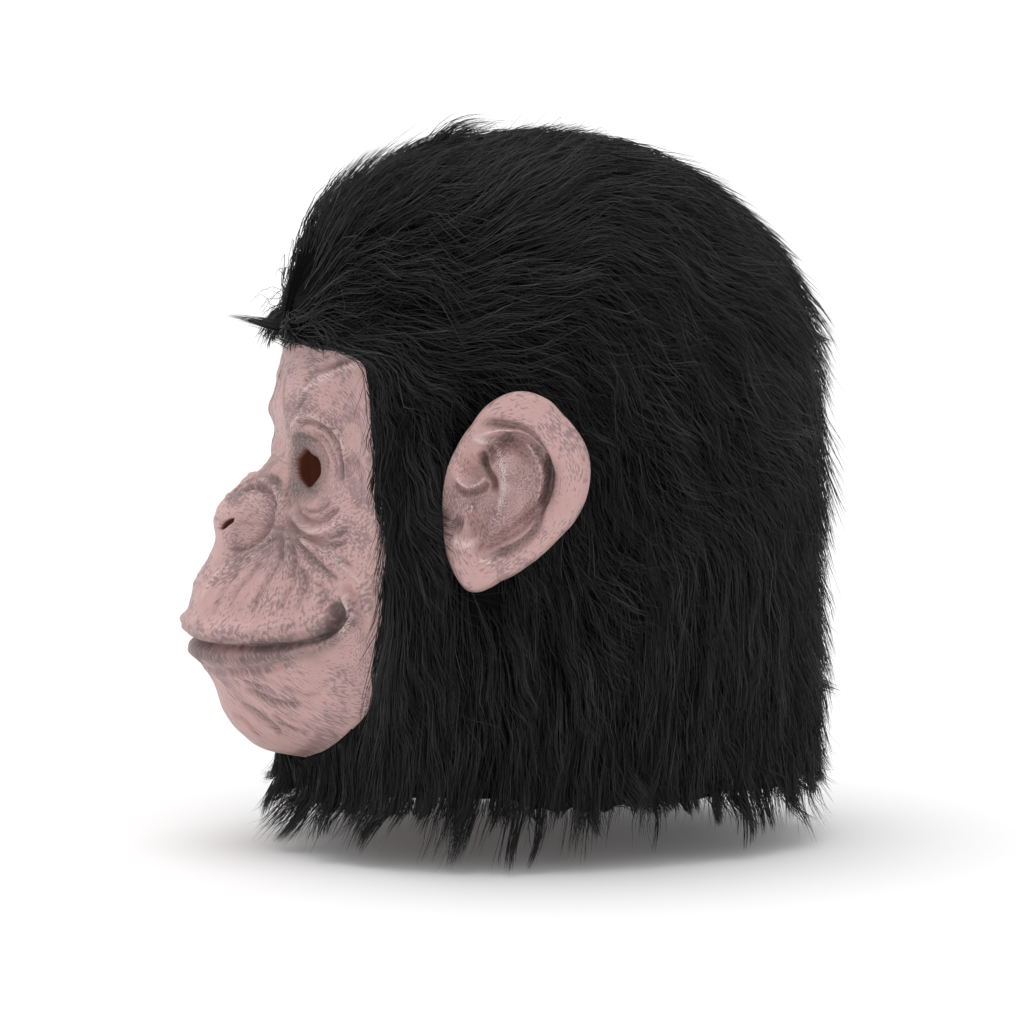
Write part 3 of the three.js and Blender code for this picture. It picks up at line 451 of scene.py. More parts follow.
# Rounded forms: place across and up as shares of the face's half width and height, half sizes in half
# widths, tilt in degrees, and lift in fold depths
faceForms = {
    "flat cheek": (0.68, 0.64, 0.36, 0.7, 0, -1.9),
    "brow": (0.4, 0.8, 0.24, 0.095, -8, 0.6),
    "eye socket": (0.5, 0.7, 0.17, 0.17, 0, -0.65),
    "inner eye hollow": (0.24, 0.68, 0.08, 0.11, 0, -0.6),
    "eye bag": (0.46, 0.6, 0.17, 0.06, 8, 0.45),
    "cheekbone": (0.7, 0.61, 0.16, 0.18, 0, 0.45),
    "temple": (0.78, 0.82, 0.19, 0.19, 0, -0.4),
    "nose wing": (0.2, 0.575, 0.115, 0.13, 20, 0.95),
    "nose tip": (0.0, 0.56, 0.12, 0.1, 0, 0.3),
    "mouth corner": (0.84, 0.37, 0.08, 0.11, 0, -0.9),
    "cheek fold": (0.94, 0.36, 0.06, 0.22, 0, 0.35),
    "chin": (0.0, 0.1, 0.27, 0.13, 0, 0.3),
}
# Across the mouth line: offset, width and lift in fold depths, and where along the mouth it fades
lips = {
    "upper lip": (1.45, 0.72, 0.75, 0.55, 1.08),
    "mouth line": (0.0, 0.27, -0.95, 0.93, 1.02),
    "lower lip": (-1.0, 0.62, 0.5, 0.45, 0.95),
}
# Folds and ridges drawn over the photo in its pixels: lift and width in mm, share of dark wash, which is
# partly painted shade in the groove, and the line
faceLines = [
    ("lid crease", -1.3, 1.0, 0.7, [(296, 430), (307, 421), (324, 427), (338, 444), (343, 466), (341, 487)]),
    ("lid fold", 0.9, 1.3, 0.0, [(292, 436), (304, 415), (326, 421), (342, 441), (348, 466), (346, 490)]),
    ("inner lid crease", -0.8, 0.8, 0.6, [(310, 431), (326, 441), (335, 459), (338, 478)]),
    ("lid rim", -0.8, 0.8, 0.8, [(291, 470), (292, 447), (299, 436), (310, 437), (321, 447), (328, 463),
                                 (327, 480)]),
    ("upper bag", -0.7, 0.8, 0.6, [(300, 505), (310, 511), (324, 508), (332, 499)]),
    ("bag", -1.1, 1.0, 0.6, [(294, 500), (300, 513), (308, 520), (320, 521), (330, 516), (341, 506)]),
    ("lower bag", -1.0, 1.1, 0.6, [(286, 512), (292, 527), (305, 537), (321, 538), (338, 534), (352, 526)]),
    ("bag ridge", 0.8, 1.3, 0.0, [(290, 505), (296, 519), (306, 529), (321, 530), (335, 526), (347, 516)]),
    ("bridge fold", -0.8, 0.9, 0.6, [(228, 505), (235, 492), (245, 483), (254, 481), (262, 474)]),
    ("bridge ridge", 0.6, 1.0, 0.0, [(234, 505), (241, 494), (250, 487), (260, 484)]),
    ("nose disc", -1.3, 1.3, 0.55, [(231, 504), (243, 492), (257, 487), (269, 492), (274, 506), (272, 523),
                                    (264, 537), (251, 545), (236, 547), (222, 543)]),
    ("nose disc rim", 0.8, 1.6, 0.0, [(240, 486), (257, 480), (273, 486), (280, 504), (278, 524), (269, 541),
                                      (254, 551)]),
    ("beside the bridge", -0.9, 1.0, 0.8, [(267, 474), (275, 480), (279, 491), (280, 502)]),
    ("inner eye fold", -0.8, 1.0, 0.7, [(285, 487), (287, 500), (291, 512)]),
    ("nose side fold", -1.1, 1.1, 0.5, [(287, 512), (292, 523), (302, 533), (316, 542), (334, 544),
                                        (350, 541)]),
    ("fan 1", -0.9, 1.0, 0.5, [(286, 524), (274, 540), (260, 551), (243, 559), (228, 567)]),
    ("fan 2", -0.9, 0.9, 0.7, [(284, 534), (283, 547), (281, 562)]),
    ("fan 3", -0.8, 0.8, 0.6, [(289, 534), (292, 548), (294, 566), (291, 580)]),
    ("fan 4", -1.1, 1.0, 0.7, [(292, 533), (300, 545), (310, 557), (325, 571), (340, 583)]),
    ("fan 5", 0.8, 0.9, 0.0, [(297, 533), (313, 546), (332, 556), (350, 571), (366, 588)]),
    ("fan 6", -0.7, 0.9, 0.4, [(300, 533), (320, 548), (340, 560), (356, 569)]),
    ("fan ridge", 0.9, 1.1, 0.0, [(289, 528), (289, 545), (287, 562)]),
    ("muzzle top ridge", 0.8, 1.3, 0.0, [(280, 540), (262, 551), (243, 560), (224, 570), (210, 585),
                                         (200, 603)]),
    ("muzzle fold 1", -0.7, 1.0, 0.4, [(279, 560), (271, 578), (258, 597), (252, 615)]),
    ("muzzle fold 2", -0.6, 0.9, 0.4, [(292, 566), (294, 582), (286, 596), (280, 612)]),
    ("muzzle fold 3", -0.6, 0.9, 0.4, [(301, 566), (307, 584), (301, 600), (295, 614)]),
    ("muzzle fold 4", -0.6, 1.0, 0.4, [(318, 580), (325, 596), (317, 612)]),
    ("muzzle fold 5", -0.5, 1.0, 0.4, [(262, 560), (250, 575), (237, 594), (230, 613)]),
    ("muzzle fold 6", -0.5, 1.0, 0.3, [(243, 567), (228, 583), (217, 604), (212, 620)]),
    ("mouth corner", -3.2, 2.2, 0.9, [(337, 600), (341, 611), (338, 622), (328, 632)]),
    ("corner fold", 1.2, 2.4, 0.0, [(346, 592), (352, 608), (350, 624), (340, 638)]),
    ("cheek fold", -0.8, 1.8, 0.2, [(343, 584), (358, 600), (363, 622), (362, 646)]),
    ("lip roll", -0.6, 1.4, 0.3, [(185, 610), (190, 623), (207, 634), (229, 637), (258, 635), (288, 629),
                                  (310, 619)]),
    ("under the lip", -0.9, 1.6, 0.3, [(194, 661), (206, 668), (222, 671), (245, 669), (273, 667),
                                       (302, 656)]),
    ("chin fold 1", -0.9, 1.0, 0.6, [(242, 689), (256, 694), (273, 700), (290, 705), (306, 706)]),
    ("chin fold 2", -0.9, 1.0, 0.6, [(241, 702), (256, 711), (268, 721), (278, 731), (282, 738)]),
    ("chin fold 3", -0.8, 1.0, 0.5, [(272, 712), (284, 724), (299, 732), (312, 735)]),
    ("chin fold 4", -0.6, 0.9, 0.5, [(243, 680), (256, 686), (270, 688)]),
    ("chin fold 5", -0.6, 0.9, 0.4, [(232, 712), (244, 721), (255, 733), (266, 741)]),
    ("chin fold 6", -0.5, 1.0, 0.3, [(290, 690), (306, 694), (322, 692)]),
    ("brow ridge", 1.0, 1.6, 0.0, [(299, 400), (311, 385), (329, 374), (350, 366), (371, 360)]),
    ("brow groove", -0.6, 1.2, 0.3, [(303, 384), (313, 372), (330, 364), (348, 358)]),
    ("frown", -0.6, 1.0, 0.5, [(296, 409), (304, 397), (311, 387)]),
    ("frown 2", -0.5, 0.9, 0.5, [(286, 372), (284, 386), (283, 400), (286, 414)]),
    ("temple fold", -0.4, 1.2, 0.3, [(352, 450), (360, 470), (362, 492), (356, 512)]),
]
eyeHole = {
    "height": 132.0,
    "spacing": 65.0,
    "turn": 38.0,  # degrees that its axis turns outwards
    "angles": [-24, 20, 63, 111, 156, 186, 217, 250, 284, 312],  # degrees up from the outer side
    "radii": [8.7, 7.7, 7.6, 9.4, 9.9, 9.2, 8.4, 8.4, 9.7, 8.2],  # mm
    "cells": (8, 24),  # of the grid, from the middle to the outline and to where the grid is even again
    "rimOff": 0.0,
}
nostril = {
    "height": 104.0,
    "spacing": 21.0,
    "length": 9.0,
    "width": 3.2,
    "tilt": 32.0,
    "cells": (3, 10),
    "rimOff": 0.6,
}
# Dark paint on the face: share, then place and width in mm
facePaint = {
    "eye": (1.0, 11.0, 20.0),  # full within one distance of the hole's middle, gone beyond the other
    "upper lip": (0.8, 2.0, 3.6),  # over the mouth line
    "lower lip": (0.75, -4.5, 3.2),
    # the dark in the mouth line is painted shade in the crease between the lips
    "mouth line": (1.0, 0.0, 1.3),
    "nose disc": (0.5, 17.0, 5.5, 100.0, 13.0),  # to the side, then over the chin
    "low brow": (0.35, 20.0, 9.0, 148.0, 9.0),
}


def outlineHalf(z, grown=1.0):
    share = (z - face["chin"]) / face["height"]
    return face["halfWidth"] * grown * readTable(faceOutline, "half", 0.5 + (share - 0.5) / grown)


def mouthLine(x):
    # level in the middle, rising to the corners, which turn up
    share = np.minimum(np.abs(x) / face["mouthHalfWidth"], 1)
    return face["chin"] + face["mouthHeight"] + face["mouthRise"] * share**5 + face["mouthHook"] * share**20


def faceBase(x, z):
    # head form with the nose, muzzle and chin standing out of it as a ridge, without its folds
    share = (z - face["chin"]) / face["height"]
    half = outlineHalf(z)
    across = np.abs(x) / (half * readTable(ridgeSections, "half", share))
    falloff = 0.5 ** (across ** readTable(ridgeSections, "power", share))
    border = np.minimum(outlineHalf(z - face["ridgeMargin"]), outlineHalf(z + face["ridgeMargin"]))
    edge = 1 - smoothStep(0.82, 1, np.abs(x) / border)
    ridge = face["muzzleDepth"] * readTable(ridgeSections, "reach", share) * falloff * edge
    ridge = np.where((share > 0) & (share < 1), ridge, 0)
    return np.stack([x, -headReach(x, z) - ridge, z], -1)


def faceNormal(x, z):
    # unit normal of the base form, from its slopes across and up
    across = faceBase(x + 0.5, z) - faceBase(x - 0.5, z)
    normal = np.cross(across, faceBase(x, z + 0.5) - faceBase(x, z - 0.5))
    return normal / np.linalg.norm(normal, axis=-1, keepdims=True)


def faceGrid():
    # rows at equal lengths along the middle profile, closer at lips and eyes, and even columns along each row
    low, high = face["chin"] - face["flange"], face["chin"] + face["height"] + face["flange"]
    z = np.linspace(low, high, 1500)
    profile = faceBase(np.zeros_like(z), z)
    mouth = face["chin"] + face["mouthHeight"]
    density = 1 + 0.9 * bell(z - mouth, 9) + 0.35 * bell(z - face["chin"] - eyeHole["height"], 22)
    run = np.r_[0, np.cumsum(np.linalg.norm(np.diff(profile, axis=0), axis=1) * density[1:])]
    levels = np.interp(np.linspace(0, run[-1], face["rows"]), run, z)
    half = outlineHalf(levels, 1.08)
    shares = np.linspace(0, 1, 160)
    fine = faceBase(half[:, None] * shares, np.repeat(levels[:, None], len(shares), 1))
    lengths = np.cumsum(np.linalg.norm(np.diff(fine, axis=1), axis=2), axis=1)
    lengths = np.concatenate([np.zeros((len(levels), 1)), lengths], 1)
    even = np.linspace(0, 1, face["columns"] // 2 + 1)
    places = np.stack([np.interp(even * length[-1], length, shares) * wide
                       for length, wide in zip(lengths, half)])
    x = np.concatenate([-places[:, :0:-1], places], 1)
    fade = 1 - smoothStep(0.9, 1.3, np.abs(x) / face["mouthHalfWidth"])
    bend = bell(levels - mouth, 0.16 * face["height"])[:, None]
    return x, levels[:, None] + bend * fade * (mouthLine(x) - mouth)


def openHole(x, z, centre, outline, block, reach):
    # spreads the grid round a block of cells so that the block's border lies on the hole's outline
    j, i = np.unravel_index(np.argmin((x - centre[0]) ** 2 + (z - centre[1]) ** 2), x.shape)
    rows, columns = np.arange(x.shape[0]) - j, np.arange(x.shape[1]) - i
    ring = np.maximum(np.abs(rows)[:, None], np.abs(columns)[None, :])
    outwards = np.sign(centre[0])
    dx, dz = (x - centre[0]) * outwards, z - centre[1]
    angle, radius = np.arctan2(dz, dx), np.hypot(dx, dz)
    order = np.argsort(angle[ring == block])
    borderAngles = angle[ring == block][order]
    border = np.interp(angle, borderAngles, radius[ring == block][order], period=2 * np.pi)
    fade = 1 - smoothStep(0, 1, (ring - block) / (reach - block))
    moved = np.where(ring >= block, radius + (outline(angle) - border) * fade, radius)
    near = ring <= block
    inBlock = near[:-1, :-1] & near[1:, 1:] & near[:-1, 1:] & near[1:, :-1]
    x, z = centre[0] + moved * np.cos(angle) * outwards, centre[1] + moved * np.sin(angle)
    return x, z, inBlock, ring - block


def eyeOutline(angle):
    # the table's radii are across the hole's own axis, which turns outwards, so they shrink across the face
    squash = np.cos(eyeHole["turn"] * degree)
    own = np.arctan2(np.sin(angle), np.cos(angle) / squash)
    angles, radii = np.array(eyeHole["angles"]), np.array(eyeHole["radii"])
    ringed = (np.r_[angles - 360, angles, angles + 360], np.tile(radii, 3))
    radius = readCurve(*ringed, own / degree)
    return radius * np.hypot(np.sin(own), np.cos(own) * squash)


def nostrilOutline(angle):
    a, b = nostril["length"] / 2, nostril["width"] / 2
    own = angle - nostril["tilt"] * degree
    return a * b / np.hypot(b * np.cos(own), a * np.sin(own))


def roundedForms(x, z):
    lift = np.zeros_like(x)
    for across, height, wide, high, tilt, rise in faceForms.values():
        dx = np.abs(x) / face["halfWidth"] - across
        dz = (z - face["chin"] - height * face["height"]) / face["halfWidth"]
        c, s = np.cos(tilt * degree), np.sin(tilt * degree)
        lift += rise * np.exp(-(((dx * c + dz * s) / wide) ** 2) - ((dz * c - dx * s) / high) ** 2)
    return lift * face["foldDepth"]


def lipForms(x, z):
    lift = np.zeros_like(x)
    for offset, width, rise, full, none in lips.values():
        off = z - mouthLine(x) - offset * face["foldDepth"]
        along = 1 - smoothStep(full, none, np.abs(x) / face["mouthHalfWidth"])
        lift += rise * along * bell(off, width * face["foldDepth"])
    return lift * face["foldDepth"]


def drawnLines(lines, points, pixels, mirrored, strength):
    # lift, dark wash and dry brushed paint along lines that are drawn in the photo's pixels: the wash is
    # partly painted shade in the grooves, the dry brushed paint partly a painted highlight on the ridges
    lift, washAndShade, paleAndHighlight = np.zeros((3, len(points)))
    for _, rise, width, dark, drawn in lines:
        nearest = [np.argmin(((pixels - np.array(p)) ** 2).sum(1)) for p in drawn]
        path = smoothPath(points[nearest], 6 * len(drawn))
        low, high = path.min(0) - 6 * width, path.max(0) + 6 * width
        close = np.all((mirrored > low) & (mirrored < high), axis=1)
        distance, along = distanceToPath(mirrored[close], path)
        ends = smoothStep(0, 0.12, along) * (1 - smoothStep(0.85, 1, along))
        shape = bell(distance, width) - (0.3 * bell(distance - 2.1 * width, width) if rise < 0 else 0)
        lift[close] += strength * rise * shape * ends
        washAndShade[close] = np.maximum(washAndShade[close], dark * bell(distance, 1.4 * width) * ends)
        # partly a painted highlight: paler dry brushed paint on the ridges
        if rise > 0:
            brushedAndHighlight = min(0.7 * rise, 0.8) * bell(distance, 0.8 * width) * ends
            paleAndHighlight[close] = np.maximum(paleAndHighlight[close], brushedAndHighlight)
    return lift, washAndShade, paleAndHighlight


def acrossFace(points):
    # length along each row from the middle of the face, to either side
    run = np.cumsum(np.linalg.norm(np.diff(points, axis=1, prepend=points[:, :1]), axis=2), axis=1)
    return np.abs(run - run[:, [run.shape[1] // 2]])


def polar(across, z, centre):
    dx, dz = across - centre[0], z - centre[1]
    return np.hypot(dx, dz), np.arctan2(dz, dx)


# Pixels that strokes of paint and the finest wrinkles run out from or round
strokeCentres = {"beside the nose": (287, 530), "mouth corner": (338, 612), "eye": (309, 466)}


def strokeCoordinates(x, z, across, fan, corner, eye):
    # two sets of coordinates for fine strokes, across and along, and the share of the second: rays from
    # beside the nose, and rings round the mouth's corner below the mouth and round the eye above it
    radius, angle = polar(across, z, fan)
    radial = np.stack([angle * 22, radius, 0 * radius], -1)
    cornerRadius, cornerAngle = polar(across, z, corner)
    eyeRadius, eyeAngle = polar(across, z, eye)
    mouthOff = z - mouthLine(x)
    ringRadius = np.where(mouthOff < 0, cornerRadius, eyeRadius)
    ringAngle = np.where(mouthOff < 0, cornerAngle, eyeAngle)
    rings = np.stack([ringRadius, ringAngle * 25, 0 * radius], -1)
    browStart = face["chin"] + 0.62 * face["height"]
    roundShare = np.maximum(1 - smoothStep(-4, 0, mouthOff), smoothStep(browStart, browStart + 14, z))
    return radial, rings, roundShare


def paintFace(x, z, eyeDistance, lineWashAndShade, fine):
    # share of dark paint: round the eyes, on both lips, on the nose's disc, low on the brow, in the lines and
    # in the fine wrinkles' grooves; in the lines and the wrinkles it is partly painted shade
    mouthOff = z - mouthLine(x)
    inMouth = 1 - smoothStep(0.95, 1.12, np.abs(x) / face["mouthHalfWidth"])
    upper, lower, line = (share * bell(mouthOff - place, width) for share, place, width in
                          (facePaint[name] for name in ("upper lip", "lower lip", "mouth line")))
    share, full, gone = facePaint["eye"]
    roundEye = share * (1 - smoothStep(full, gone, eyeDistance))
    layers = [(upper + lower) * inMouth, line * inMouth, roundEye, lineWashAndShade]
    for name in ("nose disc", "low brow"):
        share, side, wide, height, high = facePaint[name]
        layers.append(share * bell(np.abs(x) - side, wide) * bell(z - face["chin"] - height, high))
    washAndShade = np.clip(np.maximum.reduce(layers), 0, 1)
    # partly painted shade: darker in the grooves of the fine wrinkles
    return np.clip(washAndShade + 0.25 * np.clip(-fine, 0, 1), 0, 1)


def makeFace():
    x, z = faceGrid()
    deleted = np.zeros((x.shape[0] - 1, x.shape[1] - 1), bool)
    rimRing = np.full(x.shape, 99.0)  # cells out from the nearest hole's edge
    for outwards in (1, -1):
        for opening, outline in ((eyeHole, eyeOutline), (nostril, nostrilOutline)):
            centre = (opening["spacing"] / 2 * outwards, face["chin"] + opening["height"])
            x, z, hole, ring = openHole(x, z, centre, outline, *opening["cells"])
            deleted |= hole
            rimRing = np.minimum(rimRing, np.where(ring >= 0, ring + opening["rimOff"], 99))
    base, normal = faceBase(x, z), faceNormal(x, z)
    flat = base.reshape(-1, 3)
    mirrored = np.concatenate([np.abs(flat[:, :1]), flat[:, 1:]], 1)
    fromEnds = np.minimum(z - face["chin"], face["chin"] + face["height"] - z) / face["halfWidth"]
    edge = (1 - smoothStep(0.86, 1, np.abs(x) / outlineHalf(z))) * smoothStep(0, 0.08, fromEnds)
    rounded = roundedForms(x, z)
    pixels = toPhoto((base + normal * (edge * rounded)[..., None]).reshape(-1, 3))
    pixels[flat[:, 0] < -1] = 1e6  # hidden behind the face
    drawn = drawnLines(faceLines, flat, pixels, mirrored, face["lineStrength"])
    lineLift, lineWashAndShade, linePaleAndHighlight = (numbers.reshape(x.shape) for numbers in drawn)

    across = acrossFace(base)
    nearest = [np.argmin(((pixels - centre) ** 2).sum(1)) for centre in strokeCentres.values()]
    centres = [(across.ravel()[k], z.ravel()[k]) for k in nearest]
    radial, rings, roundShare = strokeCoordinates(x, z, across, *centres)
    fine = valueNoise(radial[..., 0] * 0.42, radial[..., 1] * 0.09) * (1 - roundShare)
    fine += valueNoise(rings[..., 0] * 0.36, rings[..., 1] * 0.08 + 20) * roundShare
    eyeX, eyeZ = np.abs(x) - eyeHole["spacing"] / 2, z - face["chin"] - eyeHole["height"]
    eyeDistance = np.hypot(eyeX / np.cos(eyeHole["turn"] * degree), eyeZ)
    mouthOff = z - mouthLine(x)
    fineLift = face["wrinkles"] * fine * smoothStep(10, 16, eyeDistance) * smoothStep(0, 6, np.abs(mouthOff))
    lidRim = face["lidRim"] * bell(eyeDistance - 11.5, 2.4)
    lumps = face["lumps"] * valueNoise(across * 0.11 + 7, z * 0.11)

    behindMouth = 1 - smoothStep(0.95, 1.15, np.abs(x) / face["mouthHalfWidth"])
    hollow = face["mouthHollow"] * face["foldDepth"] * behindMouth * bell(mouthOff, 1.4 * face["foldDepth"])
    relief = lipForms(x, z) + lineLift + lidRim + fineLift + lumps
    relief = np.maximum(relief, face["leastWall"] - face["wall"] - hollow)
    lift = edge * (rounded + relief) - face["rimDrop"] * bell(rimRing, 1.1)
    outer = base + normal * lift[..., None]
    inner = base + normal * (edge * (rounded - hollow) - face["wall"])[..., None]

    outside = np.zeros(x.size)
    values = {
        "washAndShade": np.tile(paintFace(x, z, eyeDistance, lineWashAndShade, fine).ravel(), 2),
        "paleAndHighlight": np.tile(linePaleAndHighlight.ravel(), 2),
        "inside": np.concatenate([outside, outside + 1]),
        "roundShare": np.tile(roundShare.ravel(), 2),
        "strokesRadial": np.tile(radial.reshape(-1, 3), (2, 1)),
        "strokesRound": np.tile(rings.reshape(-1, 3), (2, 1)),
    }
    points = np.concatenate([outer.reshape(-1, 3), inner.reshape(-1, 3)])
    points, faces, values = onlyUsed(points, [wallFaces(~deleted)], values)
    makePiece("face_skin", points, faces, values, latexSkin, "face_shell")


makeFace()

# Ears
ear = {
    "height": 87.0,
    "wall": 3.0,
    "relief": 7.5,
    "bowl": 9.0,
    "flare": 26.0,
    "lean": 5.0,
    "poleHeight": 169.0,
    "poleBack": -29.0,
    "standOff": 14.0,
    "rootWidth": 22.0,
    "rootHeight": 44.0,
    "around": 240,
    "out": 110,
    "rearRows": 36,
    "lineStrength": 1.4,
    "pileGap": (9.0, 5.0),  # mm from the ear's plane to the pile under it, in front and behind
}
# Dark paint on the ears: shares in the bowl, in the hollows, at the edge and behind; in the hollows it is
# partly painted shade
earPaint = {"bowl": 0.6, "hollow": 0.95, "edge": 0.35, "rear": 0.3}
# Degrees up from straight back, and radii in ear heights
earOutline = {
    "angle": [-90, -68, -40, -16, 7, 28, 51, 62, 78, 96, 114, 152, 188, 212, 230, 249, 256, 263, 270],
    "radius": [0.444, 0.386, 0.367, 0.406, 0.46, 0.508, 0.524, 0.543, 0.528, 0.448, 0.357, 0.29, 0.306, 0.358,
               0.436, 0.526, 0.522, 0.485, 0.444],
}
# Lift of the rolled rim by share of the way out
earRim = {
    "out": [0.36, 0.44, 0.5, 0.555, 0.6, 0.66, 0.76, 0.88, 0.96, 1.0],
    "lift": [0.0, -0.35, -0.65, -0.6, 0.15, 0.62, 0.78, 0.66, 0.3, -0.15],
}
# Rounded forms, in ear heights: place back and up, long and short half sizes, then tilt in degrees and lift
earForms = {
    "inner fold": (0.09, 0.02, 0.24, 0.075, -4, 0.55),
    "lower fold": (-0.05, -0.25, 0.15, 0.06, 68, 0.5),
    "hollow": (-0.14, 0.13, 0.07, 0.035, -30, -0.5),
    "front knob": (-0.21, 0.1, 0.08, 0.07, 0, 0.8),
    "lower knob": (-0.2, -0.07, 0.09, 0.06, 10, 0.45),
    "ear canal": (-0.25, -0.18, 0.07, 0.07, 0, -0.2),
    "notch": (-0.11, -0.13, 0.08, 0.05, 20, -0.2),
}
# the dark wash in these grooves is partly painted shade, as in the groove under the rim's overhang
earLines = [
    ("groove under the rim", -2.3, 1.8, 1.0, [(476, 425), (489, 421), (506, 422), (530, 430), (546, 449),
                                              (550, 468), (547, 497), (539, 524), (524, 540), (500, 551),
                                              (474, 553)]),
    ("groove edge", 0.9, 0.9, 0.0, [(525, 439), (539, 459), (544, 474), (542, 489), (536, 506)]),
    ("top fold", 0.8, 1.0, 0.0, [(477, 434), (496, 429), (506, 428), (518, 430)]),
    ("valley", -0.7, 3.6, 0.75, [(500, 436), (512, 436), (521, 446), (524, 462), (522, 478)]),
    ("upright ridge", 1.6, 2.6, 0.6, [(474, 443), (478, 437), (492, 440), (499, 449), (502, 462), (505, 480),
                                      (503, 497), (499, 512), (493, 524)]),
    ("beside the ridge", -2.4, 1.3, 0.85, [(482, 449), (485, 460), (489, 471), (495, 481), (496, 494)]),
    ("knob edge", 0.8, 1.3, 0.0, [(456, 474), (468, 485), (481, 482), (486, 474)]),
    ("under the knob", -1.7, 1.2, 0.6, [(454, 481), (467, 492), (482, 489), (490, 480)]),
    ("bowl bump", 1.2, 2.4, 0.0, [(464, 505), (470, 508), (476, 506)]),
    ("canal", -0.8, 3.0, 1.0, [(453, 520), (458, 524), (464, 526)]),
    ("canal edge", 1.2, 2.4, 0.0, [(452, 536), (462, 541), (474, 541), (483, 535)]),
    ("lobe fold", 1.1, 1.3, 0.0, [(480, 557), (493, 559), (507, 557)]),
]
# From the latex to the fabric's outside, in mm: the glue, what the solids' flat facets fall short of round,
# and the fabric itself
glueGap = 0.5
hoodFacets = 32
facetSag = 1.6 * head["front"] * (1 - np.cos(np.pi / hoodFacets))
fabricThickness = 2.5
hoodOutside = glueGap + facetSag + fabricThickness


def earSkin(share, angle):
    # the ear's front skin by share of the way out and angle in degrees: place back and up, height, and the
    # height of the plain bowl without its rolled rim and folds
    radius = readCurve(earOutline["angle"], earOutline["radius"], angle) * share
    back, up = np.cos(angle * degree) * radius, np.sin(angle * degree) * radius
    freeEdge = smoothStep(-0.95, -0.2, np.cos(angle * degree))
    lift = freeEdge * readCurve(earRim["out"], earRim["lift"], share)
    for formBack, formUp, longSize, shortSize, tilt, rise in earForms.values():
        c, s = np.cos(tilt * degree), np.sin(tilt * degree)
        long = ((up - formUp) * c + (back - formBack) * s) / longSize
        short = ((back - formBack) * c - (up - formUp) * s) / shortSize
        lift += rise * np.exp(-(long**2) - short**2)
    bowl = ear["bowl"] * share * share
    height = lift * ear["relief"] + bowl * (0.35 + 0.65 * freeEdge)
    return back * ear["height"], up * ear["height"], height, bowl


def earFrame():
    # the left ear's pole, and its directions back, up and out of its front
    flare, lean = ear["flare"] * degree, ear["lean"] * degree
    back = np.array([np.sin(flare), np.cos(flare), 0])
    out = np.array([np.cos(flare), -np.sin(flare), 0])
    up = np.array([0, 0, np.cos(lean)]) + out * np.sin(lean)
    seat = np.array([40.0, ear["poleBack"], ear["poleHeight"]])
    for _ in range(40):
        seat[0] -= headForm(seat, hoodOutside) * head["halfWidth"]
    return seat + [ear["standOff"], 0, 0], back, up, np.cross(back, up)


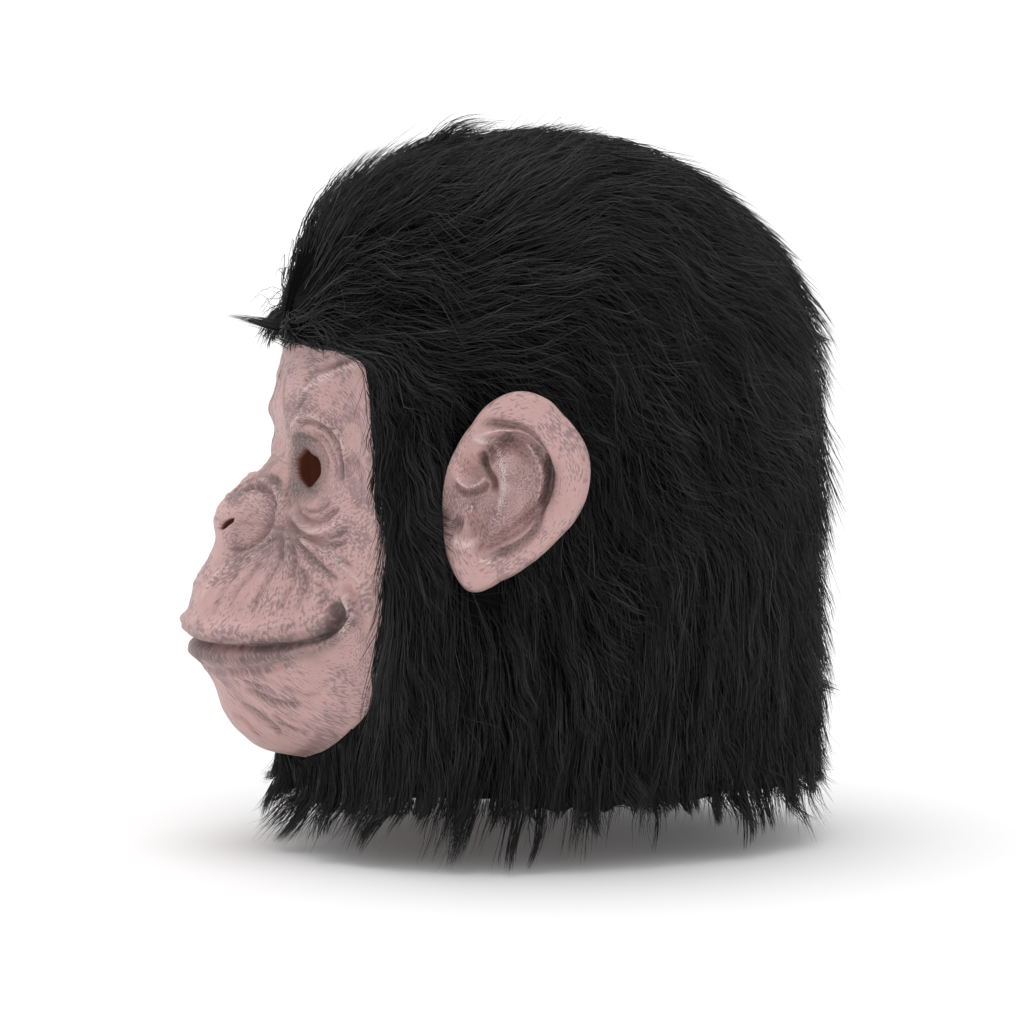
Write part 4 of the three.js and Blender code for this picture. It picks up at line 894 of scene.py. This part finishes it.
def makeEars():
    pole, backAxis, upAxis, outAxis = earFrame()

    def place(back, up, height):
        return pole + back[..., None] * backAxis + up[..., None] * upAxis + height[..., None] * outAxis

    angles = -90 + 360 * np.arange(ear["around"]) / ear["around"]
    shares = np.linspace(0, 1, ear["out"] + 1)[1:] ** 0.9
    share, angle = np.meshgrid(shares, angles, indexing="ij")
    back, up, lift, bowl = earSkin(share, angle)
    flat = place(back, up, 0.6 * lift).reshape(-1, 3)
    lineLift, lineWashAndShade, linePaleAndHighlight = drawnLines(earLines, flat, toPhoto(flat), flat, ear["lineStrength"])
    front = lift + lineLift.reshape(lift.shape)
    front += 0.25 * valueNoise(back * 0.16, up * 0.16) * smoothStep(0, 0.2, share)
    rearShares = np.linspace(1, 0.03, ear["rearRows"])[1:]
    rearShare, rearAngle = np.meshgrid(rearShares, angles, indexing="ij")
    rearBack, rearUp, rearLift, rearBowl = earSkin(rearShare, rearAngle)
    rearHeight = np.minimum(rearBowl, rearLift) - ear["wall"] * (1.4 - 0.7 * rearShare)
    # the back swells into the stalk that seats it on the hood
    halfWide, halfHigh = ear["rootWidth"] / 2, ear["rootHeight"] / 2
    stalk = np.hypot((rearBack + halfWide) / halfWide, rearUp / halfHigh)
    rearHeight -= (ear["standOff"] - 1) * (1 - smoothStep(0.8, 1.25, stalk))
    rings = np.concatenate([place(back, up, front), place(rearBack, rearUp, rearHeight)])

    count, around = len(rings), ear["around"]
    index = np.arange(count * around).reshape(count, around)
    nextIndex = np.roll(index, -1, axis=1)
    quads = np.stack([index[:-1], index[1:], nextIndex[1:], nextIndex[:-1]], -1).reshape(-1, 4)
    startPole, endPole = count * around, count * around + 1
    starts = np.stack([np.full(around, startPole), index[0], nextIndex[0]], -1)
    ends = np.stack([np.full(around, endPole), nextIndex[-1], index[-1]], -1)
    poles = np.stack([rings[0].mean(0), rings[-1].mean(0)])
    points = np.concatenate([rings.reshape(-1, 3), poles])

    bowlShade = 0.55 + 0.45 * valueNoise(back * 0.1, up * 0.1 + 5)
    bowlWash = earPaint["bowl"] * (1 - smoothStep(0.45, 0.72, share)) * bowlShade
    # partly painted shade: darker where the skin lies deep, in the ear's hollows
    deepWashAndShade = earPaint["hollow"] * smoothStep(0.2, 5.0, bowl * 0.6 - front + 0.2)
    pinkFold = bell(np.hypot(back - 9, (up + 4) * 0.4), 7)
    washAndShade = np.maximum.reduce([bowlWash, deepWashAndShade, lineWashAndShade.reshape(share.shape)]) * (1 - 0.5 * pinkFold)
    washAndShade = np.clip(np.maximum(washAndShade, earPaint["edge"] * smoothStep(0.9, 1.0, share)), 0, 1)
    rear = np.full(rearShare.size, earPaint["rear"])

    def strokes(share, angle, names):
        found = {"out": share * 40, "round": angle * degree * 30}
        return np.stack([found[name] for name in names] + [0 * share], -1).reshape(-1, 3)

    rearStrokes = strokes(rearShare, rearAngle, ("out", "round"))
    atPoles = np.zeros((2, 3))
    values = {
        "washAndShade": np.r_[washAndShade.ravel(), rear, washAndShade[0].mean(), earPaint["rear"]],
        "paleAndHighlight": np.r_[linePaleAndHighlight, np.zeros(len(points) - len(linePaleAndHighlight))],
        "inside": np.zeros(len(points)),
        "roundShare": np.ones(len(points)),
        "strokesRadial": np.concatenate([strokes(share, angle, ("round", "out")), rearStrokes, atPoles]),
        "strokesRound": np.concatenate([strokes(share, angle, ("out", "round")), rearStrokes, atPoles]),
    }
    for outwards, name in ((1, "left"), (-1, "right")):
        faces = [rows[:, ::outwards] for rows in (quads, starts, ends)]
        placed = points * [outwards, 1, 1]
        makePiece("ear_skin_" + name, placed, faces, values, latexSkin, "ear_" + name)


makeEars()

# Fur
hood = {
    "furDepth": 15.0,
    "hem": 24.0,
    "whorlTilt": 64.0,  # degrees forward of the crown, as the pile is combed back from the forehead
    "crownRows": 9,
    "sideRows": 12,
    "turns": 240,
    "step": 1.5,  # mm between levels of the lie lines
    "overhang": 84.0,  # mm that the lie lines run on below the hem
    "fall": (0.985, 0.17),  # down and outwards for each mm there
    "openingGap": 1.2,
    "sideGap": 0.065,  # share of the face's width by which the pile stands back beside it
    "hairlineLap": 2.5,  # mm that it lies over the top of the face
    "peltHeight": (0.24, 0.08),  # shares of the fur's depth, and how much its locks rise and fall
    "flatEdge": 0.4,
    "peltEnd": 6.0,  # mm above the hem
    "liningDepth": 2.4,
}


def lieLines():
    # lines from the whorl down to the hem and on below it, every step mm, and the fabric's normal along them
    turns = 2 * np.pi * np.arange(hood["turns"]) / hood["turns"]
    rows = np.linspace(0.05, hood["crownRows"] + hood["sideRows"], 420)
    row, turn = np.meshgrid(rows, turns, indexing="ij")
    share = np.clip(row / hood["crownRows"], 0, 1)
    slant = share**0.9 * np.pi / 2
    tilt = hood["whorlTilt"] * degree * (1 - share)
    ray = np.stack([np.sin(slant) * np.sin(turn), -np.sin(slant) * np.cos(turn), np.cos(slant)], -1)
    c, s = np.cos(tilt), np.sin(tilt)
    ray = np.stack([ray[..., 0], ray[..., 1] * c - ray[..., 2] * s, ray[..., 1] * s + ray[..., 2] * c], -1)
    below = np.maximum(row - hood["crownRows"], 0) / hood["sideRows"]
    start = np.zeros_like(ray)
    start[..., 2] = head["widest"] + (hood["hem"] - head["widest"]) * below
    near, far = np.zeros_like(row), np.full_like(row, 500.0)
    for _ in range(34):
        middle = (near + far) / 2
        inside = headForm(start + ray * middle[..., None], hoodOutside) < 0
        near, far = np.where(inside, middle, near), np.where(inside, far, middle)
    lines = start + ray * near[..., None]
    run = np.cumsum(np.linalg.norm(np.diff(lines, axis=0, prepend=lines[:1]), axis=2), axis=0)
    outwards = np.stack([np.sin(turns), -np.cos(turns), 0 * turns], -1)
    arcs = np.arange(0, run.max() + hood["overhang"], hood["step"])
    even = np.empty((len(arcs), hood["turns"], 3))
    for k in range(hood["turns"]):
        for axis in range(3):
            even[:, k, axis] = np.interp(arcs, run[:, k], lines[:, k, axis])
    past = np.maximum(arcs[:, None] - run[-1][None, :], 0)
    down, out = hood["fall"]
    even[..., 2] -= past * down
    even += outwards[None] * (past * out)[..., None]
    normal = -gridNormals(even, wrap=True)
    return even, normal, run[-1], turns


lieGrid, lieNormal, hemArc, lieTurns = lieLines()
# mm that the lie lines part for each radian of turn
betweenLines = np.linalg.norm(np.roll(lieGrid, -1, axis=1) - np.roll(lieGrid, 1, axis=1), axis=2)
spread = betweenLines * hood["turns"] / (4 * np.pi)


def readGrid(grid, turn, arc):
    # value of a grid of lie lines between its points
    a = (turn / (2 * np.pi) * hood["turns"]) % hood["turns"]
    b = np.clip(arc / hood["step"], 0, grid.shape[0] - 1.001)
    i, j = np.floor(a).astype(int), np.floor(b).astype(int)
    u, v = a - i, b - j
    i, nextI = i % hood["turns"], (i + 1) % hood["turns"]
    if grid.ndim == 3:
        u, v = u[..., None], v[..., None]
    near = grid[j, i] * (1 - u) + grid[j, nextI] * u
    far = grid[j + 1, i] * (1 - u) + grid[j + 1, nextI] * u
    return near * (1 - v) + far * v


def openingScale(points):
    # how far out a place lies from the middle of the face's opening, 1 on its outline, for places in front
    x, z = points[..., 0], points[..., 2]
    middle = face["chin"] + 0.5 * face["height"]
    bottom, top = face["chin"] - hood["openingGap"], face["chin"] + face["height"] - hood["hairlineLap"]
    low, high = np.zeros_like(x), np.full_like(x, 4.0)
    for _ in range(20):
        scale = (low + high) / 2
        px, pz = x / np.maximum(scale, 1e-3), middle + (z - middle) / np.maximum(scale, 1e-3)
        half = outlineHalf(pz) * (1 + hood["sideGap"] * smoothStep(face["chin"] - 5, face["chin"] + 30, pz))
        inside = (np.abs(px) < half) & (pz > bottom) & (pz < top)
        low, high = np.where(inside, low, scale), np.where(inside, scale, high)
    return np.where(points[..., 1] < 0, (low + high) / 2, 9.0)


# Where the pile lies low: round the ear, beside the face, over it and on the crown
lowPile = {
    "earHalf": (0.42, 0.5),  # ear heights, back and up
    "earBack": 8.0,  # mm
    "besideFace": 15.0,
    "overFace": 34.0,
    "hem": (30.0, 12.0),  # height under which it is deep again below the chin, and the band there
    "crown": (250.0, 300.0, 0.4),  # heights where it begins and is full, and the share it takes off
}


def furShare(points):
    # share of its full depth that the pile has
    x, y, z = np.moveaxis(points, -1, 0)
    halfWide, halfHigh = lowPile["earHalf"]
    fromEar = np.hypot((y - ear["poleBack"] - lowPile["earBack"]) / (halfWide * ear["height"]),
                       (z - ear["poleHeight"]) / (halfHigh * ear["height"]))
    hairline = face["chin"] + face["height"]
    beside = (np.abs(x) - outlineHalf(np.clip(z, face["chin"], hairline))) / lowPile["besideFace"]
    above = (z - hairline) / lowPile["overFace"]
    hemHeight, hemBand = lowPile["hem"]
    fromFace = np.maximum(np.maximum(beside, above), (hemHeight - z) / hemBand)
    besideFace = np.where(y < 0, smoothStep(-0.1, 1, fromFace), 1)
    low, high, crownShare = lowPile["crown"]
    onCrown = 1 - crownShare * smoothStep(low, high, z)
    return (0.35 + 0.65 * smoothStep(0.55, 1.25, fromEar)) * (0.2 + 0.8 * besideFace) * onCrown


def makePelt():
    # the dense fur low in the pile and the fabric under it, cut out round the face
    rows = int(hemArc.max() / (2 * hood["step"]))
    turn, share = np.meshgrid(lieTurns, np.linspace(0.012, 1, rows), indexing="xy")
    arc = share * (hemArc[None, :] - hood["peltEnd"])
    fabric, normal = readGrid(lieGrid, turn, arc), readGrid(lieNormal, turn, arc)
    normal /= np.linalg.norm(normal, axis=-1, keepdims=True)
    scale = openingScale(fabric)
    nextTurn = np.roll(scale, -1, axis=1)
    keep = (scale[:-1] + scale[1:] + nextTurn[:-1] + nextTurn[1:]) / 4 >= 1.0
    # points on the cut's border move onto the opening's outline
    touched = np.zeros(scale.shape, int)
    for dj in (0, 1):
        for di in (0, 1):
            touched[dj : dj + keep.shape[0]] += np.roll(keep, di, axis=1)
    border = (touched > 0) & (touched < 4) & (scale < 1.4)
    middleZ = face["chin"] + 0.5 * face["height"]
    x = np.where(border, fabric[..., 0] / scale, fabric[..., 0])
    z = np.where(border, middleZ + (fabric[..., 2] - middleZ) / scale, fabric[..., 2])
    snapped = np.stack([x, -headReach(x, z, hoodOutside), z], -1)
    fabric = np.where(border[..., None], snapped, fabric)
    locks = valueNoise(turn * 9, arc * 0.05) + 0.6 * valueNoise(turn * 26 + 3, arc * 0.09)
    mean, byLocks = hood["peltHeight"]
    flatter = np.where(border, hood["flatEdge"], 1)
    height = hood["furDepth"] * furShare(fabric) * (mean + byLocks * locks) * flatter
    outer = fabric + normal * height[..., None]
    inner = fabric - normal * hood["liningDepth"]
    outer[-1, :, 2] -= 3 * (1 + valueNoise(lieTurns * 19, lieTurns * 0 + 0.5))
    faces = wallFaces(keep, wrap=True)
    lie = np.stack([turn * 95, arc, 0 * arc], -1)
    flat = np.zeros(arc.size)
    values = {"lie": np.tile(lie.reshape(-1, 3), (2, 1)), "inside": np.r_[flat, flat + 1]}
    # the first ring's rim is closed over by one cap outside and one inside
    count, ring = arc.size, np.arange(hood["turns"])
    nextRing = np.roll(ring, -1)
    faces = faces[~np.all(faces % count < hood["turns"], axis=1)][:, ::-1]
    poles = [outer[:1].mean(1), inner[:1].mean(1)]
    points = np.concatenate([outer.reshape(-1, 3), inner.reshape(-1, 3), *poles])
    outerCap = np.stack([np.full_like(ring, 2 * count), nextRing, ring], -1)
    innerCap = np.stack([np.full_like(ring, 2 * count + 1), ring + count, nextRing + count], -1)
    values = {label: np.concatenate([numbers, numbers[:1], numbers[count : count + 1]])
              for label, numbers in values.items()}
    points, faces, values = onlyUsed(points, [faces, outerCap, innerCap], values)
    makePiece("fur_pelt", points, faces, values, peltMaterial, "fur_hood")


makePelt()

strand = {
    "count": 44500,
    "pieces": 5,
    "rings": 4,
    "lengths": (32.0, 56.0),  # mm
    "width": 0.44,  # mm, of a few fibres together, as coarse as they need to be to show
    "wispSize": (5.5, 24.0),  # mm across and along
    "tuftSize": (17.0, 46.0),
    "gather": 0.85,
    "tuftGather": 0.5,
    "wave": 3.2,  # mm to each side
    "waveLength": 38.0,
    "strays": 0.08,
    "overEdge": 1.8,  # mm that tips reach over the edge of the face
    "scatter": (0.2, 0.5),  # spread of each strand's own lean, and what a stray adds
    "wispScatter": 0.8,
    "tuftScatter": (0.6, 0.9),  # of a tuft's lean, on its wisps and on itself
    "heights": (0.14, 0.55, 0.36, 0.1),  # shares of the fur's depth: least, tufts, wisps and each strand
    "curls": (6.5, 5.5, 7.0),  # mm that tips of wisps, tufts and strays curl outwards
    "hanging": 24.0,  # mm over the floor where the shorter tufts end
    "tipScatter": (7.0, 3.0, 7.0),  # mm that tips of wisps, strands and strays lie apart there
    "closerAtHem": 0.9,
    "closerAtFace": 2.0,
    "tones": (0.8, 0.26, 0.1),  # how much lighter a strand, its wisp and its tuft can be
    "looseTone": 0.3,
}
# Lean of the pile off its lie lines: tangent, height of its middle and the band it reaches over in mm
pileLean = {
    "overEars": (0.42, 200, 75),
    "beard": (0.85, 22, 62),
    "lowBehind": (0.25, 30, 60),
    "behindEars": (0.45, 118, 48),
}
# Lean that wanders: tangent, blobs in each mm, and where in the noise it starts
wander = {"broad": (0.42, 0.021, 9, 4), "fine": (0.3, 0.055, 2, 7)}
lockKinds = 4096  # rows of random numbers that the locks draw on


def cellOf(rng, size, turn, arc):
    # random numbers, turn and arc of the nearest root on a jittered lattice, each row of it with whole cells
    table = rng.random((lockKinds, 6))
    bestDistance = np.full(len(turn), 1e9)
    best = np.zeros(len(turn), int)
    bestTurn, bestArc = np.zeros(len(turn)), np.zeros(len(turn))
    meanSpread = spread.mean(1)
    for dj in (-1, 0, 1):
        j = np.floor(arc / size[1]).astype(int) + dj
        level = np.clip((j + 0.5) * size[1] / hood["step"], 4, len(meanSpread) - 1).astype(int)
        around = np.maximum(np.round(2 * np.pi * meanSpread[level] / size[0]), 3)
        for di in (-1, 0, 1):
            i = np.floor(turn / (2 * np.pi) * around + 0.5 * (j % 2)).astype(int) + di
            key = ((i % around.astype(int)) * 131 + j * 977) % lockKinds
            cellTurn = (i + 0.15 + 0.7 * table[key, 0] - 0.5 * (j % 2)) / around * 2 * np.pi
            cellArc = (j + table[key, 1]) * size[1]
            across = (cellTurn - turn) * readGrid(spread, turn, arc)
            distance = np.hypot(across, (cellArc - arc) * size[0] / size[1])
            nearer = distance < bestDistance
            bestDistance = np.where(nearer, distance, bestDistance)
            best = np.where(nearer, key, best)
            bestTurn, bestArc = np.where(nearer, cellTurn, bestTurn), np.where(nearer, cellArc, bestArc)
    return table[best], bestTurn, bestArc


def leanOf(turn, arc):
    # tangent of the angle between the pile and its lie line, positive towards greater turns: back over the
    # ears, forward in the beard, back again low behind, and wandering everywhere
    x, y, z = np.moveaxis(readGrid(lieGrid, turn, arc), -1, 0)
    side, front = np.sin(turn), np.cos(turn)
    where = {
        "overEars": smoothStep(0.75, 0.2, front),
        "beard": -smoothStep(-0.25, 0.5, front),
        "lowBehind": smoothStep(0, -0.6, front),
        "behindEars": -bell(front + 0.5, 0.35),
    }
    total = np.zeros_like(turn)
    for name, (tangent, height, band) in pileLean.items():
        total += tangent * side * where[name] * bell(z - height, band)
    for tangent, perMm, startAcross, startUp in wander.values():
        across, up = perMm * (x + z) + startAcross, perMm * (y - 0.8 * z) + startUp
        total += tangent * valueNoise(across, up)
    return total


def makeRoots(rng):
    # turn and arc of each strand's root, closer together near the hem and beside the face
    count = strand["count"]
    scale = openingScale(lieGrid)
    arcs = hood["step"] * np.arange(lieGrid.shape[0])
    growing = (scale > 1.0) & (arcs[:, None] < hemArc[None, :] - 1) & (arcs[:, None] > 2)
    nearHem = 1 + strand["closerAtHem"] * smoothStep(50, 5, hemArc[None, :] - arcs[:, None])
    nearFace = 1 + strand["closerAtFace"] * bell(scale - 1, 0.09)
    weights = (spread * growing * nearHem * nearFace).ravel()
    cell = rng.choice(weights.size, count, p=weights / weights.sum())
    turn = (cell % hood["turns"] + rng.random(count)) / hood["turns"] * 2 * np.pi
    return turn, (cell // hood["turns"] + rng.random(count)) * hood["step"]


def nearestTurn(turn, to):
    return to + (turn - to + np.pi) % (2 * np.pi) - np.pi


def pressUnderEars(surface, normal, lift):
    # where an ear stands over the fabric the pile is pressed flat, and a strand that meets the ear stops
    pole, backAxis, upAxis, outAxis = earFrame()
    side = np.where(surface[..., :1] < 0, [-1, 1, 1], [1, 1, 1])
    back, up, out = (((surface * side) - pole) @ axis for axis in (backAxis, upAxis, outAxis))
    angle = (np.arctan2(up, back) / degree + 90) % 360 - 90
    share = np.hypot(back, up) / ear["height"] / readCurve(earOutline["angle"], earOutline["radius"], angle)
    frontGap, backGap = ear["pileGap"]
    room = (np.where(back < 0, -frontGap, -backGap) - out) / np.maximum((normal * side) @ outAxis, 0.25)
    under = share < 1.04
    blocked = under & (room < 1.2) & (share < np.where(back < 0, 1.0, 1.04))
    pressed = under & ~blocked & (back > -20)
    return np.where(pressed, np.minimum(lift, np.maximum(room, 0.8)), lift), blocked


def makeStrands():
    rng = np.random.default_rng(11)
    turn, arc = makeRoots(rng)
    count = len(turn)
    wisp, wispTurn, wispArc = cellOf(rng, strand["wispSize"], turn, arc)
    tuft, tuftTurn, tuftArc = cellOf(rng, strand["tuftSize"], wispTurn, wispArc)
    stray = rng.random(count) < strand["strays"]
    wispWide, tuftWide = strand["wispSize"][0], strand["tuftSize"][0]
    radius = np.maximum(readGrid(spread, turn, arc), 14)[:, None]
    (own, byStray), (tuftOnWisp, tuftOwn) = strand["scatter"], strand["tuftScatter"]
    ownLean = leanOf(turn, arc) + (own + byStray * stray) * rng.normal(size=count)
    wispLean = leanOf(wispTurn, wispArc) + strand["wispScatter"] * (wisp[:, 3] - 0.5)
    wispLean += tuftOnWisp * (tuft[:, 3] - 0.5)
    tuftLean = leanOf(tuftTurn, tuftArc) + tuftOwn * (tuft[:, 3] - 0.5)
    gather = strand["gather"] * (0.6 + 0.4 * rng.random(count)) * np.where(stray, 0.1, 1)
    root = readGrid(lieGrid, turn, arc)
    share = furShare(root)
    nearOpening = bell(openingScale(root) - 1, 0.12)[:, None]

    def offMiddle(lockTurn, width):
        # 0 on the middle line of a lock, 1 at its sides
        return np.clip(np.abs(nearestTurn(lockTurn, turn) - turn) * radius[:, 0] / (0.55 * width), 0, 1)

    # each tuft and each wisp is a rounded lock, with a valley on either side
    tuftTop = (0.35 + 0.65 * tuft[:, 4]) * (1 - 0.8 * offMiddle(tuftTurn, tuftWide) ** 2)
    wispTop = (0.3 + 0.7 * wisp[:, 4]) * (1 - 0.7 * offMiddle(wispTurn, wispWide) ** 2)
    least, byTuft, byWisp, byStrand = strand["heights"]
    heights = least + byTuft * tuftTop + byWisp * wispTop + byStrand * rng.random(count)
    top = (hood["furDepth"] * share * heights)[:, None]
    wispCurl, tuftCurl, strayCurl = strand["curls"]
    curl = wispCurl * smoothStep(0.5, 1, wisp[:, 5]) + tuftCurl * smoothStep(0.5, 1, tuft[:, 0])
    curl += strayCurl * stray * rng.random(count)

    def pathAt(t, length):
        # own lie line, drawn sideways to the wisp's and the tuft's as it nears the tip, in a slow wave
        s = t * length[:, None]
        pathArc = arc[:, None] + s
        ownLine = turn[:, None] + ownLean[:, None] * s / radius

        def lockLine(lockTurn, lockLean, lockArc):
            line = lockTurn[:, None] + lockLean[:, None] * (pathArc - lockArc[:, None]) / radius
            return nearestTurn(line, ownLine)

        def drawTo(line, placed, limit):
            return np.clip(line - placed, -limit, limit)

        toWisp = drawTo(lockLine(wispTurn, wispLean, wispArc), ownLine, wispWide / radius)
        placed = ownLine + gather[:, None] * t**1.2 * toWisp
        toTuft = drawTo(lockLine(tuftTurn, tuftLean, tuftArc), placed, 0.7 * tuftWide / radius)
        placed += strand["tuftGather"] * t**1.4 * toTuft
        phase = 2 * np.pi * (pathArc / strand["waveLength"] + tuft[:, 5:] + 0.2 * wisp[:, :1])
        placed += strand["wave"] * (0.3 + wisp[:, 2:3]) * t * np.sin(phase) / radius
        surface, normal = readGrid(lieGrid, placed, pathArc), readGrid(lieNormal, placed, pathArc)
        normal /= np.linalg.norm(normal, axis=-1, keepdims=True)
        arch = 0.15 + 0.4 * nearOpening + 0.85 * np.sin(t * np.pi * 0.56)
        lift = (top + 1.2 * nearOpening) * arch + curl[:, None] * share[:, None] * t**3
        lift, blocked = pressUnderEars(surface, normal, lift)
        return surface + normal * lift[..., None], normal, blocked, surface

    # a strand ends a little past the face's edge, where an ear bars its way, and over the floor
    length = rng.uniform(*strand["lengths"], count) * (0.75 + 0.5 * wisp[:, 2]) * (1 + 0.2 * stray)
    hanging = smoothStep(0.55, 1, tuft[:, 2]) * (0.45 + 0.55 * wisp[:, 1])
    byWisp, byStrand, byStray = strand["tipScatter"]
    tipHeight = strand["hanging"] * (1 - hanging) + byWisp * (wisp[:, 0] - 0.5) + byStrand * rng.random(count)
    tipHeight = np.maximum(tipHeight, 0.8) + byStray * stray
    toHem = readGrid(np.repeat(hemArc[None], 2, 0), turn, 0 * turn) - arc
    length = np.minimum(length, np.maximum(toHem + (hood["hem"] - tipHeight) / hood["fall"][0], 3))
    probe = np.linspace(0, 1, 20)[None, :]
    _, _, blocked, surface = pathAt(probe, length)
    stopped = blocked | (openingScale(surface) < 0.995)
    first = np.where(stopped.any(1), probe[0][np.argmax(stopped, axis=1)], 9)
    reached = first * length + strand["overEdge"] * (2 * rng.random(count) - 1)
    length = np.where(first < 9, reached, length)
    kept = length > 4
    t = np.linspace(0, 1, strand["rings"] + 1)[None, :] ** 0.9
    path, normal, _, _ = pathAt(t, np.maximum(length, 4))
    kept &= path[..., 2].min(1) > 0.3
    path[..., 2] = np.maximum(path[..., 2], 0.4)
    width = strand["width"] * rng.uniform(0.65, 1.2, count) * np.where(stray, 0.55, 1)
    ownTone, wispTone, tuftTone = strand["tones"]
    tone = ownTone * rng.random(count) ** 3.5 + wispTone * wisp[:, 5] + tuftTone * tuft[:, 1]
    tone = np.clip(tone, 0, 1)
    loose = [looseTuft(rng, t[0], *tuftPlace) for tuftPlace in looseTufts.values()]
    path = np.concatenate([path[kept]] + loose)
    added = np.full(len(path) - kept.sum(), 1.0)
    upright = np.broadcast_to([0, 0, 1], (len(added), strand["rings"] + 1, 3))
    normal = np.concatenate([normal[kept], upright])
    width = np.r_[width[kept], added * 0.8 * strand["width"]]
    tone = np.r_[tone[kept], added * strand["looseTone"]]
    makeTubes(rng, path, normal, width, tone, np.r_[turn[kept] % (2 * np.pi), 0 * added])


# Tufts that stand out of the outline: strands, spread in mm at root and tip, then pixels from root to tip
looseTufts = {
    "forelock": (90, 4.0, 1.6, (302, 338), (272, 326), (226, 318)),
    "forelock underside": (30, 4.0, 3.0, (304, 342), (280, 334), (262, 330)),
    "front crown": (60, 4.0, 2.0, (378, 196), (364, 182), (353, 171)),
    "front": (60, 4.0, 2.0, (362, 208), (350, 192), (342, 181)),
    "low front": (60, 4.0, 2.0, (346, 224), (332, 212), (321, 207)),
    "crown arch": (90, 6.0, 5.0, (425, 172), (456, 134), (500, 128)),
    "upper back": (60, 4.0, 1.5, (796, 330), (816, 337), (837, 345)),
    "lower back": (80, 5.0, 2.0, (790, 668), (815, 681), (843, 692)),
}


def looseTuft(rng, t, count, rootSpread, tipSpread, rootPixel, middlePixel, tipPixel):
    # strands along a curve through three pixels of the middle plane, scattered about it
    root, middle, tip = (fromPhoto(*pixel) for pixel in (rootPixel, middlePixel, tipPixel))
    bend = 2 * middle - 0.5 * (root + tip)
    end = rng.uniform(0.6, 1, count)[:, None, None]
    t = t[None, :, None] * end
    curve = (1 - t) ** 2 * root + 2 * t * (1 - t) * bend + t * t * tip
    scatter = rng.normal(size=(count, 1, 3)) * 0.5
    tipScatter = rng.normal(size=(count, 1, 3)) * 0.5
    atRoot = (1 - t) * rootSpread * scatter * [2, 1, 1]
    return curve + atRoot + t * tipSpread * (0.6 * scatter + 0.6 * tipScatter)


def makeTubes(rng, path, normal, width, tone, order):
    # a three-sided tube along each path, tapered to a point, in pieces whose strands lie together by order
    rings, count = strand["rings"], len(path)
    tangent = np.gradient(path, axis=1)
    tangent /= np.maximum(np.linalg.norm(tangent, axis=-1, keepdims=True), 1e-9)
    side = np.cross(tangent, normal)
    side /= np.maximum(np.linalg.norm(side, axis=-1, keepdims=True), 1e-9)
    above = np.cross(side, tangent)
    taper = np.interp(np.arange(rings) / rings, [0, 0.3, 0.75, 1], [0.7, 1, 0.6, 0.2])
    radius = width[:, None] * taper[None, :] / 2
    spin = rng.random(count)[:, None, None] * 2 * np.pi + 2 * np.pi * np.arange(3)[None, None, :] / 3
    corners = path[:, :rings, None] + radius[..., None, None] * (
        np.cos(spin)[..., None] * side[:, :rings, None] + np.sin(spin)[..., None] * above[:, :rings, None])
    points = np.concatenate([corners.reshape(count, -1, 3), path[:, -1:]], 1)
    each = 3 * rings + 1
    ring = np.arange(3)
    after = (ring + 1) % 3
    band = np.stack([ring, after, after + 3, ring + 3], -1)
    quads = np.concatenate([3 * k + band for k in range(rings - 1)])
    last = 3 * (rings - 1)
    tips = np.stack([last + ring, last + after, np.full(3, 3 * rings)], -1)
    root = np.array([[2, 1, 0]])
    # painted shade: the strands grow darker towards their roots, deep in the pile where it shades itself
    shadeTowardsRoots = np.r_[np.repeat(np.linspace(0.3, 1, rings), 3), 1]  # darker towards the roots
    for k, chosen in enumerate(np.array_split(np.argsort(order), strand["pieces"])):
        base = (each * np.arange(len(chosen)))[:, None, None]
        faces = [(base + rows[None]).reshape(-1, rows.shape[1]) for rows in (quads, tips, root)]
        values = {"tone": (tone[chosen][:, None] * shadeTowardsRoots[None, :]).ravel()}
        name = "fur_strands_%d" % (k + 1)
        makePiece(name, points[chosen].reshape(-1, 3), faces, values, fibreMaterial, "fur_hood")


makeStrands()
print("fur made")

# Floor, light and camera
studio = {
    "white": "#f6f6f6",
    "room": 0.8,  # strength of the light from all round
    "sun": 1.2,
    "sunAngle": 45.0,  # degrees across, as of a large soft box
    "sunFrom": (-0.08, -0.08, 1.0),
    "paperGlow": 0.05,  # lifts the shadows on the floor
}


def makeStudio():
    bpy.ops.mesh.primitive_plane_add(size=300)
    floor = bpy.context.object
    floor.name = "studio_floor"
    paper, _, shader = startMaterial("mattePaper", 0.9, 0.2)
    shader.inputs["Base Color"].default_value = colour(studio["white"])
    shader.inputs["Emission Color"].default_value = (1, 1, 1, 1)
    shader.inputs["Emission Strength"].default_value = studio["paperGlow"]
    floor.data.materials.append(paper)
    world = bpy.data.worlds.new("softRoom")
    bpy.context.scene.world = world
    world.use_nodes = True
    world.node_tree.nodes["Background"].inputs["Color"].default_value = (1, 1, 1, 1)
    world.node_tree.nodes["Background"].inputs["Strength"].default_value = studio["room"]
    light = bpy.data.lights.new("softBox", "SUN")
    light.energy, light.angle = studio["sun"], studio["sunAngle"] * degree
    lamp = bpy.data.objects.new("softBox", light)
    lamp.rotation_euler = (-Vector(studio["sunFrom"])).to_track_quat("-Z", "Y").to_euler()
    bpy.context.scene.collection.objects.link(lamp)
    lens = bpy.data.cameras.new("camera")
    lens.lens, lens.sensor_width = view["lens"], view["sensor"]
    lens.clip_start, lens.clip_end = 0.1, 100
    shot = bpy.data.objects.new("camera", lens)
    axes = Matrix((viewRight, viewUp, viewBack)).transposed().to_4x4()
    shot.matrix_world = Matrix.Translation(Vector(eyePlace * mm)) @ axes
    bpy.context.scene.collection.objects.link(shot)
    bpy.context.scene.camera = shot
    bpy.context.scene.view_settings.view_transform = "Standard"


makeStudio()
